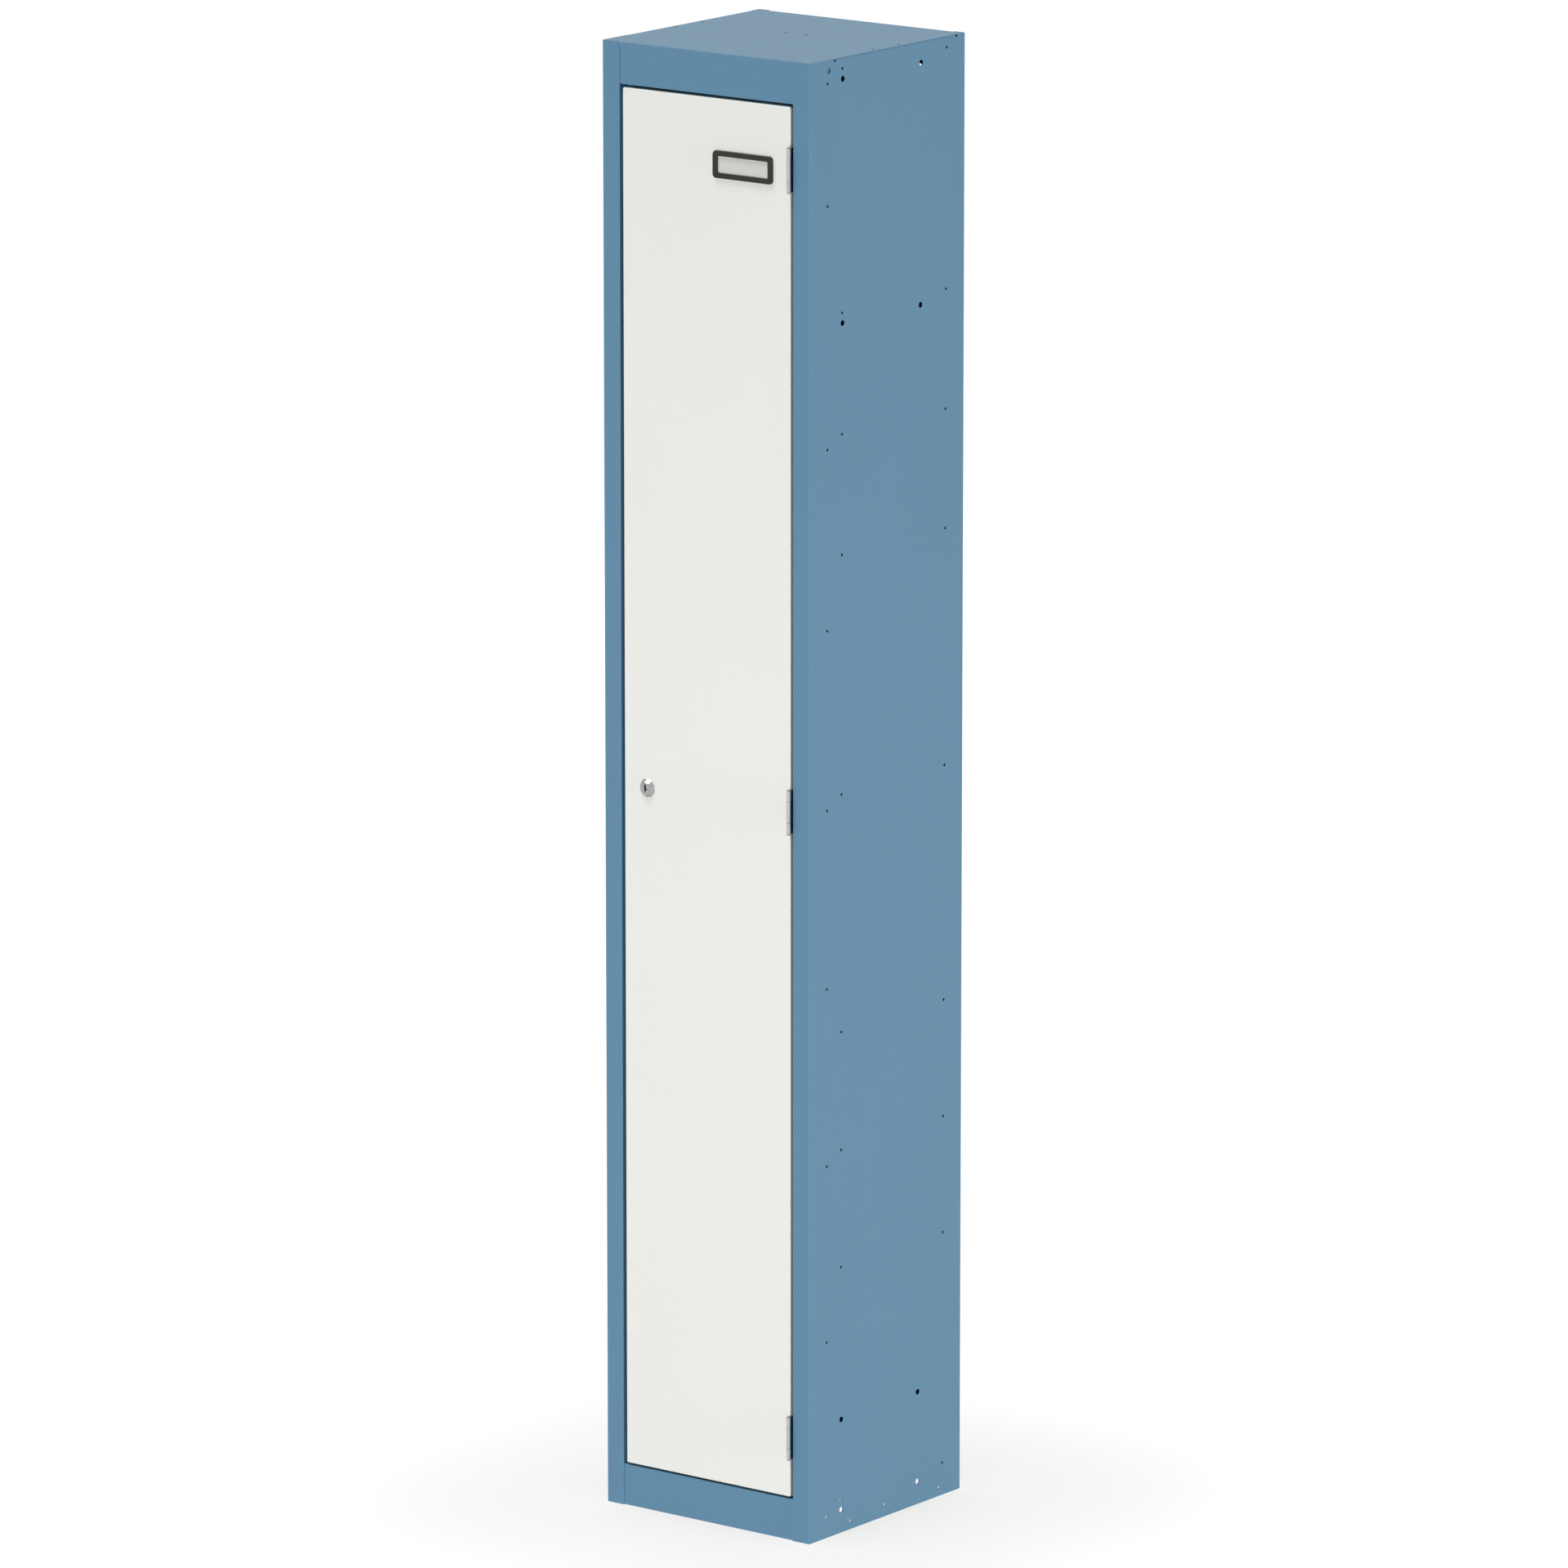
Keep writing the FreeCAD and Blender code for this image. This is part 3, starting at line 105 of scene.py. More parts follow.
class NodeBench:
    """A material under construction, with short calls for the nodes that the finishes share."""

    def __init__(self, name: str) -> None:
        """Starts a material with one Principled shader.

        Args:
            name: The material's name.
        """
        self.material = bpy.data.materials.new(name)
        self.material.use_nodes = True
        self.tree = self.material.node_tree
        self.shader = self.tree.nodes["Principled BSDF"]
        self.place = self.tree.nodes.new("ShaderNodeTexCoord").outputs["Object"]

    def feed(self, node: Node, socket: str | int, value: object) -> None:
        """Links a socket's output into a node's input, or sets the input to a plain value.

        Args:
            node: The node that is fed.
            socket: The input's name or number.
            value: An output socket, a number, a vector or a colour.
        """
        if isinstance(value, Socket):
            self.tree.links.new(value, node.inputs[socket])
        else:
            node.inputs[socket].default_value = value

    def calc(self, kind: str, first: Feed, second: Feed = 0.0) -> Socket:
        """Adds a Math node.

        Args:
            kind: The operation, in Blender's word.
            first: The first number or socket.
            second: The second number or socket.

        Returns:
            The result's socket.
        """
        node = self.tree.nodes.new("ShaderNodeMath")
        node.operation = kind
        self.feed(node, 0, first)
        self.feed(node, 1, second)
        return node.outputs[0]

    def axes(self) -> tuple[Socket, ...]:
        """Returns the X, Y and Z of the place on the piece, in metres."""
        node = self.tree.nodes.new("ShaderNodeSeparateXYZ")
        self.feed(node, 0, self.place)
        return tuple(node.outputs)

    def stretched(self, scale: Triple, centre: Triple = (0.0, 0.0, 0.0)) -> Socket:
        """Moves and scales the place on the piece.

        Args:
            scale: How many times finer the pattern runs along X, Y and Z.
            centre: The point that becomes the pattern's origin, in metres.

        Returns:
            The scaled place's socket.
        """
        node = self.tree.nodes.new("ShaderNodeMapping")
        node.vector_type = "POINT"
        self.feed(node, "Vector", self.place)
        self.feed(node, "Scale", scale)
        self.feed(node, "Location", [-c * s for c, s in zip(centre, scale)])
        return node.outputs["Vector"]

    def noise(self, scale: float, detail: float = 2.0, place: Socket | None = None) -> Socket:
        """Adds a noise pattern.

        Args:
            scale: Patches per metre.
            detail: How many finer layers it has.
            place: Another place socket than the piece's own.

        Returns:
            The pattern's socket, about 0.5 on average.
        """
        node = self.tree.nodes.new("ShaderNodeTexNoise")
        self.feed(node, "Vector", place or self.place)
        self.feed(node, "Scale", scale)
        self.feed(node, "Detail", detail)
        return node.outputs[0]

    def cells(self, scale: float) -> Socket:
        """Adds a pattern of cells, each with its own grey.

        Args:
            scale: Cells per metre.

        Returns:
            The cell's grey as a socket.
        """
        node = self.tree.nodes.new("ShaderNodeTexVoronoi")
        self.feed(node, "Vector", self.place)
        self.feed(node, "Scale", scale)
        split = self.tree.nodes.new("ShaderNodeSeparateColor")
        self.feed(split, 0, node.outputs["Color"])
        return split.outputs[0]

    def spread(self, value: Feed, source: Range, target: Range = (0.0, 1.0)) -> Socket:
        """Maps a range of values smoothly onto another.

        Args:
            value: The value's socket.
            source: Where the range starts and ends.
            target: What the start and the end become.

        Returns:
            The mapped value's socket.
        """
        node = self.tree.nodes.new("ShaderNodeMapRange")
        node.interpolation_type = "SMOOTHSTEP"
        for socket, number in enumerate((value, *source, *target)):
            self.feed(node, socket, number)
        return node.outputs[0]

    def blend(self, share: Feed, first: Socket | Colour, second: Socket | Colour) -> Socket:
        """Blends two colours.

        Args:
            share: The socket that says how much of the second colour shows.
            first: A colour or its socket.
            second: A colour or its socket.

        Returns:
            The blended colour's socket.
        """
        node = self.tree.nodes.new("ShaderNodeMix")
        node.data_type = "RGBA"
        self.feed(node, 0, share)
        for socket, colour in zip(MIX_COLOURS, (first, second)):
            self.feed(node, socket, (*colour, 1.0) if isinstance(colour, tuple) else colour)
        return node.outputs[MIX_RESULT]

    def bump(self, height: Socket, depth: float, under: Socket | None = None) -> Socket:
        """Turns a height pattern into a relief.

        Args:
            height: The pattern's socket, 0 to 1.
            depth: The relief's depth in metres.
            under: A coarser relief's socket that this one lies on.

        Returns:
            The relief's normal socket.
        """
        node = self.tree.nodes.new("ShaderNodeBump")
        self.feed(node, "Strength", 1.0)
        self.feed(node, "Distance", depth)
        self.feed(node, "Height", height)
        if under is not None:
            self.feed(node, "Normal", under)
        return node.outputs[0]

    def dots(self, across: Socket, along: Socket, pitch: float, radius: float) -> Socket:
        """Adds a row of round marks.

        Args:
            across: The socket of the distance from the row's line.
            along: The socket of the place along the row.
            pitch: The marks' pitch in metres.
            radius: The marks' radius in metres.

        Returns:
            A socket that is 1 inside a mark and 0 outside.
        """
        step = self.calc("PINGPONG", along, pitch / 2)
        square = self.calc("ADD", self.calc("MULTIPLY", step, step), self.calc("MULTIPLY", across, across))
        return self.spread(self.calc("SQRT", square), (radius * MARK_CORE, radius), (1.0, 0.0))

    def finish(self, colour: Socket, rough: Socket, relief: Socket, **plain: float) -> Material:
        """Connects the shader.

        Args:
            colour: The colour's socket.
            rough: The roughness's socket.
            relief: The relief's normal socket.
            **plain: Other shader inputs, by name with _ for a space, that are the same all over.

        Returns:
            The finished material.
        """
        self.feed(self.shader, "Base Color", colour)
        self.feed(self.shader, "Roughness", rough)
        self.feed(self.shader, "Normal", relief)
        for name, number in plain.items():
            self.feed(self.shader, name.replace("_", " "), number)
        return self.material


@dataclass(frozen=True)
class JoiningMarks:
    """Upright rows of round joining marks in a painted sheet, shown behind a place in Y if one is given."""

    lines: tuple[float, ...]
    pitch: float
    radius: float
    behind: float | None = None
    depth: float = 0.5 * MM
    share: float = 0.35
    tone: float = -0.3

    def spots(self, bench: NodeBench) -> Socket:
        """Lays out the marks.

        Args:
            bench: The material under construction.

        Returns:
            A socket that is 1 inside a mark and 0 outside.
        """
        across, through, up = bench.axes()
        total: Feed = 0.0
        for line in self.lines:
            row = bench.dots(bench.calc("SUBTRACT", across, line), up, self.pitch, self.radius)
            total = bench.calc("MAXIMUM", total, row)
        if self.behind is not None:
            total = bench.calc("MULTIPLY", total, bench.calc("GREATER_THAN", through, self.behind))
        return total


@dataclass(frozen=True)
class PowderCoat:
    """A satin powder coat on steel sheet: faint clouding, orange peel and a fine grain."""

    name: str
    colour: Colour
    marks: JoiningMarks | None = None
    punched_wall: tuple[Triple, Triple] | None = None
    # The holes' cut edges get a near-black painted shade of this tone.
    hole_shade_tone: float = -0.92
    clouding: float = 0.007
    cloud_scale: float = 5.0
    grain_scale: float = 1500.0
    grain_depth: float = 0.008 * MM
    speck_range: Range = (0.62, 0.78)
    speck_share: float = 0.35
    speck_tone: float = -0.10
    peel_scale: float = 380.0
    peel_depth: float = 0.022 * MM
    roughness: float = 0.5
    rub_reach: float = 0.012
    rub_scale: float = 60.0
    rub_stretch: Triple = (1.0, 1.0, 0.25)
    specular: float = 0.67

    def shade(self, share: float) -> Colour:
        """Returns the colour, paler by a share, or darker where the share is negative."""
        return toned(self.colour, 1.0 + share)

    def hole_shade_map(self, bench: NodeBench) -> Socket:
        """Finds the holes' cut edges, which get painted shade; they lie between the faces of the wall and
        away from its folds.

        Args:
            bench: The material under construction.

        Returns:
            A socket that is 1 on a hole's edge and 0 elsewhere.
        """
        across, through, up = bench.axes()
        within: Feed = 1.0
        for place, low, high in zip((bench.calc("ABSOLUTE", across), through, up), *self.punched_wall):
            within = bench.calc("MULTIPLY", within, bench.calc("GREATER_THAN", place, low))
            within = bench.calc("MULTIPLY", within, bench.calc("LESS_THAN", place, high))
        return within

    def material(self) -> Material:
        """Builds the coat's material.

        Returns:
            The material.
        """
        bench = NodeBench(self.name)
        cloud = bench.spread(bench.noise(self.cloud_scale, detail=4.0), NOISE_RANGE)
        grain = bench.noise(self.grain_scale, detail=3.0)
        broad = bench.blend(cloud, self.shade(-self.clouding), self.shade(self.clouding))
        speck = bench.spread(grain, self.speck_range, (0.0, self.speck_share))
        colour = bench.blend(speck, broad, self.shade(self.speck_tone))
        rub = bench.noise(self.rub_scale, detail=5.0, place=bench.stretched(self.rub_stretch))
        rough = bench.spread(rub, NOISE_RANGE, around(self.roughness, self.rub_reach))
        peel = bench.bump(bench.noise(self.peel_scale, detail=1.5), self.peel_depth)
        relief = bench.bump(grain, self.grain_depth, peel)
        if self.marks is not None:
            spots = self.marks.spots(bench)
            relief = bench.bump(bench.calc("SUBTRACT", 1.0, spots), self.marks.depth, relief)
            worn = bench.calc("MULTIPLY", spots, self.marks.share)
            colour = bench.blend(worn, colour, self.shade(self.marks.tone))
        # Near-black painted shade on the holes' cut edges, so that the holes read dark.
        if self.punched_wall is not None:
            colour = bench.blend(self.hole_shade_map(bench), colour, self.shade(self.hole_shade_tone))
        return bench.finish(colour, rough, relief, Specular_IOR_Level=self.specular)


@dataclass(frozen=True)
class BrightZinc:
    """Zinc-plated steel: faint crystal patches, drawn lines along one axis and a little dulling."""

    name: str
    colour: Colour = (0.53, 0.535, 0.515)
    contrast: float = 0.14
    roughness: float = 0.30
    smoother: float = 0.07
    rougher: float = 0.12
    lines: Triple = (900.0, 900.0, 45.0)
    line_depth: float = 0.012 * MM
    patch_scale: float = 420.0
    patch_share: float = 0.22
    patch: Colour = (0.44, 0.45, 0.45)
    dull_scale: float = 70.0
    # Behind this y the plating gives way to a near-black painted shade, standing in for the shadow in the
    # hinge gap.
    shade_behind: float | None = None
    shade_colour: Colour = (0.030, 0.040, 0.046)
    shade_roughness: float = 0.2
    shade_waver: float = 0.4 * MM
    shade_rim: float = 0.5 * MM

    def material(self) -> Material:
        """Builds the plated finish's material, which gives way to a near-black painted shade behind a place
        in Y.

        Returns:
            The material.
        """
        bench = NodeBench(self.name)
        patch = bench.calc("MULTIPLY", bench.cells(self.patch_scale), self.patch_share)
        drawn = bench.noise(1.0, detail=3.0, place=bench.stretched(self.lines))
        dull = bench.noise(self.dull_scale, detail=4.0)
        dim, pale = (toned(self.colour, factor) for factor in around(1.0, self.contrast))
        colour = bench.blend(bench.spread(drawn, NOISE_RANGE), dim, pale)
        colour = bench.blend(patch, colour, self.patch)
        wear = (self.roughness - self.smoother, self.roughness + self.rougher)
        rough = bench.spread(bench.calc("ADD", drawn, dull), NOISE_PAIR_RANGE, wear)
        # Painted shade: near-black behind the knuckle, where the gap beside it lies in shadow.
        if self.shade_behind is not None:
            edge = bench.calc("ADD", bench.axes()[1], bench.calc("MULTIPLY", dull, self.shade_waver))
            behind = bench.spread(edge, (self.shade_behind, self.shade_behind + self.shade_rim))
            colour = bench.blend(behind, colour, self.shade_colour)
            rough = bench.calc("ADD", rough, bench.calc("MULTIPLY", behind, self.shade_roughness))
        relief = bench.bump(drawn, self.line_depth)
        return bench.finish(colour, rough, relief, Metallic=1.0)


@dataclass(frozen=True)
class LockChrome:
    """Polished lock plating: turned rings round the lock's axis, faint smudges, and painted shade in the
    keyway and round its mouth.
    """

    name: str
    axis: Triple
    colour: Colour = (0.395, 0.40, 0.39)
    clean_tone: float = 1.06
    smudged_tone: float = 0.9
    smudge_scale: float = 260.0
    smudge_range: Range = (0.35, 0.75)
    roughness: float = 0.13
    smoother: float = 0.03
    rougher: float = 0.09
    ring_scale: float = 900.0
    ring_waver: float = 0.6
    ring_depth: float = 0.002 * MM
    # The keyway's inside and its mouth get a near-black painted shade.
    dark_from: float | None = None
    dark_rim: float = 0.15 * MM
    dark_tone: float = 0.06
    keyway: Range = (1.7 * MM, 4.6 * MM)
    mouth_rim: Range = (0.7, 1.35)
    mouth_share: float = 0.75

    def rings(self, bench: NodeBench) -> Socket:
        """Adds the turned rings.

        Args:
            bench: The material under construction.

        Returns:
            The rings' height as a socket.
        """
        node = bench.tree.nodes.new("ShaderNodeTexWave")
        node.wave_type = "RINGS"
        node.rings_direction = "Y"
        bench.feed(node, "Vector", bench.stretched(SAME_SIZE, self.axis))
        bench.feed(node, "Scale", self.ring_scale)
        bench.feed(node, "Distortion", self.ring_waver)
        return node.outputs["Fac"]

    def keyway_shade_map(self, bench: NodeBench) -> Socket:
        """Finds where the keyway gets painted shade: its inside and its soft oval mouth.

        Args:
            bench: The material under construction.

        Returns:
            A socket that is 1 inside the keyway and 0 away from it.
        """
        across, through, up = bench.axes()
        inside = bench.spread(through, (self.dark_from, self.dark_from + self.dark_rim))
        squares = []
        for place, middle, half in zip((across, up), (self.axis[0], self.axis[2]), self.keyway):
            share = bench.calc("DIVIDE", bench.calc("SUBTRACT", place, middle), half)
            squares.append(bench.calc("MULTIPLY", share, share))
        oval = bench.calc("SQRT", bench.calc("ADD", *squares))
        mouth = bench.spread(oval, self.mouth_rim, (self.mouth_share, 0.0))
        return bench.calc("MAXIMUM", inside, mouth)

    def material(self) -> Material:
        """Builds the plating's material.

        Returns:
            The material.
        """
        bench = NodeBench(self.name)
        smudge = bench.spread(bench.noise(self.smudge_scale, detail=4.0), self.smudge_range)
        clean = toned(self.colour, self.clean_tone)
        colour = bench.blend(smudge, clean, toned(self.colour, self.smudged_tone))
        # Painted shade in the keyway and round its mouth.
        if self.dark_from is not None:
            colour = bench.blend(self.keyway_shade_map(bench), colour, toned(self.colour, self.dark_tone))
        wear = (self.roughness - self.smoother, self.roughness + self.rougher)
        rough = bench.spread(smudge, (0.0, 1.0), wear)
        relief = bench.bump(self.rings(bench), self.ring_depth)
        return bench.finish(colour, rough, relief, Metallic=1.0)


@dataclass(frozen=True)
class Moulding:
    """A matte, finely grained finish, such as textured plastic, rubber or card."""

    name: str
    colour: Colour
    roughness: float
    grain: float
    depth: float
    mottle: float = 0.25
    cloud_scale: float = 35.0
    rough_reach: float = 0.06
    specular: float = 0.3

    def material(self) -> Material:
        """Builds the grained finish's material.

        Returns:
            The material.
        """
        bench = NodeBench(self.name)
        grain = bench.noise(self.grain, detail=3.0)
        cloud = bench.noise(self.cloud_scale, detail=4.0)
        mottle = bench.spread(bench.calc("ADD", grain, cloud), NOISE_PAIR_CORE)
        contrast = 1.0 + self.mottle
        colour = bench.blend(mottle, toned(self.colour, 1.0 / contrast), toned(self.colour, contrast))
        rough = bench.spread(grain, NOISE_RANGE, around(self.roughness, self.rough_reach))
        return bench.finish(colour, rough, bench.bump(grain, self.depth), Specular_IOR_Level=self.specular)


@dataclass(frozen=True)
class Lamp:
    """A square lamp that faces the locker, at a bearing of 0 in front and 90 on the hinge side.

    The angles are in degrees, the distance and the size in metres and the power in watts.
    """

    name: str
    azimuth: float
    elevation: float
    distance: float
    size: float
    power: float
    mirrored: bool


@dataclass
class Studio:
    """The floor, the light and the camera."""

    azimuth: float = 37.2848
    elevation: float = 12.5755
    distance: float = 13.1472
    focal_px: float = 13521.64
    frame_px: float = 1920.0
    side_shift: float = -0.000177
    target_height: float = 0.879194
    sensor: float = 36.0
    camera_reach: float = 100.0
    sky: float = 0.05
    floor_radius: float = 9.0
    floor_sides: int = 96
    floor_bounce: float = 0.62
    floor_paint: float = 0.05
    floor_glow: float = 0.878
    floor_rise: float = 0.9
    footprint: float = 149.0 * MM
    footprint_rim: float = 0.01 * MM
    # Painted light: the floor under the locker, which would be shaded, is kept pale.
    footprint_painted_light: float = 0.93
    contact_shade: float = 0.075
    contact_reach: float = 56.0 * MM
    corner_power: float = 4.0
    lamps: tuple[Lamp, ...] = (
        Lamp("overhead_softbox", -28.0, 73.0, 12.0, 6.0, 975.0, True),
        Lamp("front_fill", 8.0, -5.4, 5.0, 0.85, 129.0, False),
        Lamp("side_fill", 87.0, 0.0, 6.0, 0.9, 226.0, False),
        Lamp("back_fill", 227.0, 2.0, 6.0, 0.9, 190.0, False),
    )

    @staticmethod
    def bearing(azimuth: float, elevation: float) -> Vector:
        """Returns the unit vector towards a point seen from the locker at these angles, in degrees."""
        turn, rise = math.radians(azimuth), math.radians(elevation)
        return Vector((math.sin(turn) * math.cos(rise), -math.cos(turn) * math.cos(rise), math.sin(rise)))

    @staticmethod
    def seen(tree: bpy.types.NodeTree) -> Socket:
        """Adds the test for rays that see the backdrop.

        Args:
            tree: The node tree that gets it.

        Returns:
            A socket that is 1 for camera, mirror and glass rays.
        """
        path = tree.nodes.new("ShaderNodeLightPath")
        result = path.outputs["Is Camera Ray"]
        for name in ("Is Glossy Ray", "Is Transmission Ray"):
            node = tree.nodes.new("ShaderNodeMath")
            node.operation = "MAXIMUM"
            tree.links.new(result, node.inputs[0])
            tree.links.new(path.outputs[name], node.inputs[1])
            result = node.outputs[0]
        return result

    def set_camera(self) -> None:
        """Puts the camera at the photograph's place, with its focal length."""
        turn = math.radians(self.azimuth)
        aside = (self.side_shift * math.cos(turn), self.side_shift * math.sin(turn))
        target = Vector((*aside, self.target_height))
        back = self.bearing(self.azimuth, self.elevation)
        data = bpy.data.cameras.new("portrait")
        data.sensor_fit = "HORIZONTAL"
        data.sensor_width = self.sensor
        data.lens = self.focal_px / self.frame_px * self.sensor
        data.clip_end = self.camera_reach
        camera = bpy.data.objects.new("portrait", data)
        camera.location = target + back * self.distance
        camera.rotation_euler = back.to_track_quat("Z", "Y").to_euler()
        bpy.context.scene.collection.objects.link(camera)
        bpy.context.scene.camera = camera
        bpy.context.scene.view_settings.view_transform = "Standard"

    def set_world(self) -> None:
        """Makes the world white to the eye and a plain soft sky to the locker."""
        world = bpy.data.worlds.new("studio")
        world.use_nodes = True
        bpy.context.scene.world = world
        tree = world.node_tree
        sky = tree.nodes["Background"]
        sky.inputs["Color"].default_value = WHITE
        sky.inputs["Strength"].default_value = self.sky
        white = tree.nodes.new("ShaderNodeBackground")
        white.inputs["Color"].default_value = WHITE
        white.inputs["Strength"].default_value = 1.0
        mix = tree.nodes.new("ShaderNodeMixShader")
        tree.links.new(self.seen(tree), mix.inputs[0])
        tree.links.new(sky.outputs[0], mix.inputs[1])
        tree.links.new(white.outputs[0], mix.inputs[2])
        tree.links.new(mix.outputs[0], tree.nodes["World Output"].inputs["Surface"])

    def hang_lamp(self, lamp: Lamp) -> None:
        """Hangs one lamp.

        Args:
            lamp: The lamp's place, size and power.
        """
        data = bpy.data.lights.new(lamp.name, "AREA")
        data.shape = "SQUARE"
        data.size = lamp.size
        data.energy = lamp.power
        item = bpy.data.objects.new(lamp.name, data)
        towards = self.bearing(lamp.azimuth, lamp.elevation)
        item.location = Vector((0.0, 0.0, self.target_height)) + towards * lamp.distance
        item.rotation_euler = towards.to_track_quat("Z", "Y").to_euler()
        item.visible_camera = False
        item.visible_glossy = lamp.mirrored
        bpy.context.scene.collection.objects.link(item)

    def floor_level(self, bench: NodeBench) -> Socket:
        """Says how pale the floor is.

        It carries a painted shadow at the locker's foot, least at the corners, and is paler far out. Inside
        the footprint it has a level of its own.

        Args:
            bench: The floor's material under construction.

        Returns:
            The level's socket.
        """
        spans = [bench.calc("ABSOLUTE", place) for place in bench.axes()[:2]]
        gaps = [bench.calc("MAXIMUM", bench.calc("SUBTRACT", span, self.footprint), 0.0) for span in spans]
        square = bench.calc("ADD", *(bench.calc("MULTIPLY", gap, gap) for gap in gaps))
        away = bench.calc("SQRT", square)
        nearest = bench.calc("DIVIDE", bench.calc("MINIMUM", *spans), self.footprint)
        corner = bench.calc("POWER", bench.calc("MINIMUM", nearest, 1.0), self.corner_power)
        # Painted shadow: the floor is greyer near the locker's foot and least so at its corners.
        contact = bench.calc("EXPONENT", bench.calc("MULTIPLY", away, -1.0 / self.contact_reach))
        contact = bench.calc("MULTIPLY", contact, bench.calc("SUBTRACT", 1.0, corner))
        level = bench.calc("ADD", bench.calc("MULTIPLY", square, self.floor_rise), self.floor_glow)
        level = bench.calc("SUBTRACT", level, bench.calc("MULTIPLY", contact, self.contact_shade))
        # Painted light: inside the footprint the floor keeps a pale level of its own, where the locker would
        # shade it.
        inside = bench.calc("LESS_THAN", away, self.footprint_rim)
        under = bench.calc("MULTIPLY", inside, self.footprint_painted_light)
        return bench.calc("MINIMUM", bench.calc("MAXIMUM", level, under), 1.0)

    def lay_floor(self) -> None:
        """Lays the floor, which is nearly white to the eye and an even soft glow to the locker."""
        Shop.clear()
        bpy.ops.mesh.primitive_circle_add(
            vertices=self.floor_sides, radius=self.floor_radius, fill_type="NGON"
        )
        floor = bpy.context.object
        floor.name = "floor"
        bench = NodeBench("studio_floor")
        tree = bench.tree
        tree.nodes.remove(bench.shader)
        paint = tree.nodes.new("ShaderNodeBsdfDiffuse")
        bench.feed(paint, "Color", (self.floor_paint, self.floor_paint, self.floor_paint, 1.0))
        glow = tree.nodes.new("ShaderNodeEmission")
        bench.feed(glow, "Strength", self.floor_level(bench))
        shown = tree.nodes.new("ShaderNodeAddShader")
        bench.feed(shown, 0, paint.outputs[0])
        bench.feed(shown, 1, glow.outputs[0])
        bounce = tree.nodes.new("ShaderNodeEmission")
        bench.feed(bounce, "Strength", self.floor_bounce)
        mix = tree.nodes.new("ShaderNodeMixShader")
        bench.feed(mix, 0, self.seen(tree))
        bench.feed(mix, 1, bounce.outputs[0])
        bench.feed(mix, 2, shown.outputs[0])
        bench.feed(tree.nodes["Material Output"], "Surface", mix.outputs[0])
        floor.data.materials.append(bench.material)

    def build(self) -> None:
        """Builds the camera, the light and the floor."""
        self.set_camera()
        self.set_world()
        for lamp in self.lamps:
            self.hang_lamp(lamp)
        self.lay_floor()


class Shop:
    """The modelling calls that the new pieces share."""

    @staticmethod
    def clear() -> None:
        """Leaves nothing selected, so that a new primitive is alone."""
        bpy.ops.object.select_all(action="DESELECT")

    @staticmethod
    def start(name: str) -> Piece:
        """Names the primitive that was just added and puts its place into its mesh.

        Args:
            name: The new piece's name.

        Returns:
            The piece, selected alone and in edit mode.
        """
        piece = bpy.context.object
        piece.name = piece.data.name = name
        bpy.ops.object.transform_apply(location=True, rotation=True, scale=True)
        bpy.ops.object.mode_set(mode="EDIT")
        return piece

    @staticmethod
    def pick(piece: Piece, kind: str, test: Callable[[list[Vector]], bool]) -> None:
        """Selects parts of a mesh in edit mode by the places of their corners.

        Args:
            piece: The piece in edit mode.
            kind: VERT or EDGE.
            test: Says for a part's corner places whether it is picked.
        """
        bpy.ops.mesh.select_mode(type=kind)
        bpy.ops.mesh.select_all(action="DESELECT")
        mesh = bmesh.from_edit_mesh(piece.data)
        for part in {"VERT": mesh.verts, "EDGE": mesh.edges}[kind]:
            corners = [part.co] if kind == "VERT" else [corner.co for corner in part.verts]
            if test(corners):
                part.select_set(True)
        mesh.select_flush_mode()
        bmesh.update_edit_mesh(piece.data)

    @staticmethod
    def step(move: Vector, scale: Triple, centre: Vector) -> None:
        """Extrudes what is selected and scales the new end about a point.

        Args:
            move: How far the end goes.
            scale: The end's scale along X, Y and Z.
            centre: The point that the end is scaled about, before the move.
        """
        bpy.ops.mesh.extrude_region_move(TRANSFORM_OT_translate={"value": move})
        bpy.ops.transform.resize(value=scale, center_override=centre + move)

    @staticmethod
    def close(smooth: float) -> None:
        """Turns the faces outwards, leaves edit mode and smooths the shallow edges.

        Args:
            smooth: The largest edge angle that is smoothed, in degrees.
        """
        bpy.ops.mesh.select_all(action="SELECT")
        bpy.ops.mesh.normals_make_consistent(inside=False)
        bpy.ops.object.mode_set(mode="OBJECT")
        bpy.ops.object.shade_smooth_by_angle(angle=math.radians(smooth))

    @staticmethod
    def repeat(piece: Piece, count: int, step: Triple) -> None:
        """Repeats a piece's mesh in a row.

        Args:
            piece: The piece, active in object mode.
            count: How many there are in all.
            step: From one to the next, in metres.
        """
        row = piece.modifiers.new("row", "ARRAY")
        row.count = count
        row.use_relative_offset = False
        row.use_constant_offset = True
        row.constant_offset_displace = step
        bpy.ops.object.modifier_apply(modifier=row.name)

    @staticmethod
    def copy(piece: Piece, name: str, move: Vector) -> Piece:
        """Copies a piece with its own mesh.

        Args:
            piece: The piece that is copied.
            name: The copy's name.
            move: How far the copy goes, in metres.

        Returns:
            The copy.
        """
        Shop.clear()
        piece.select_set(True)
        bpy.context.view_layer.objects.active = piece
        bpy.ops.object.duplicate(linked=False)
        twin = bpy.context.object
        twin.name = twin.data.name = name
        bpy.ops.transform.translate(value=move)
        bpy.ops.object.transform_apply(location=True, rotation=True, scale=True)
        return twin


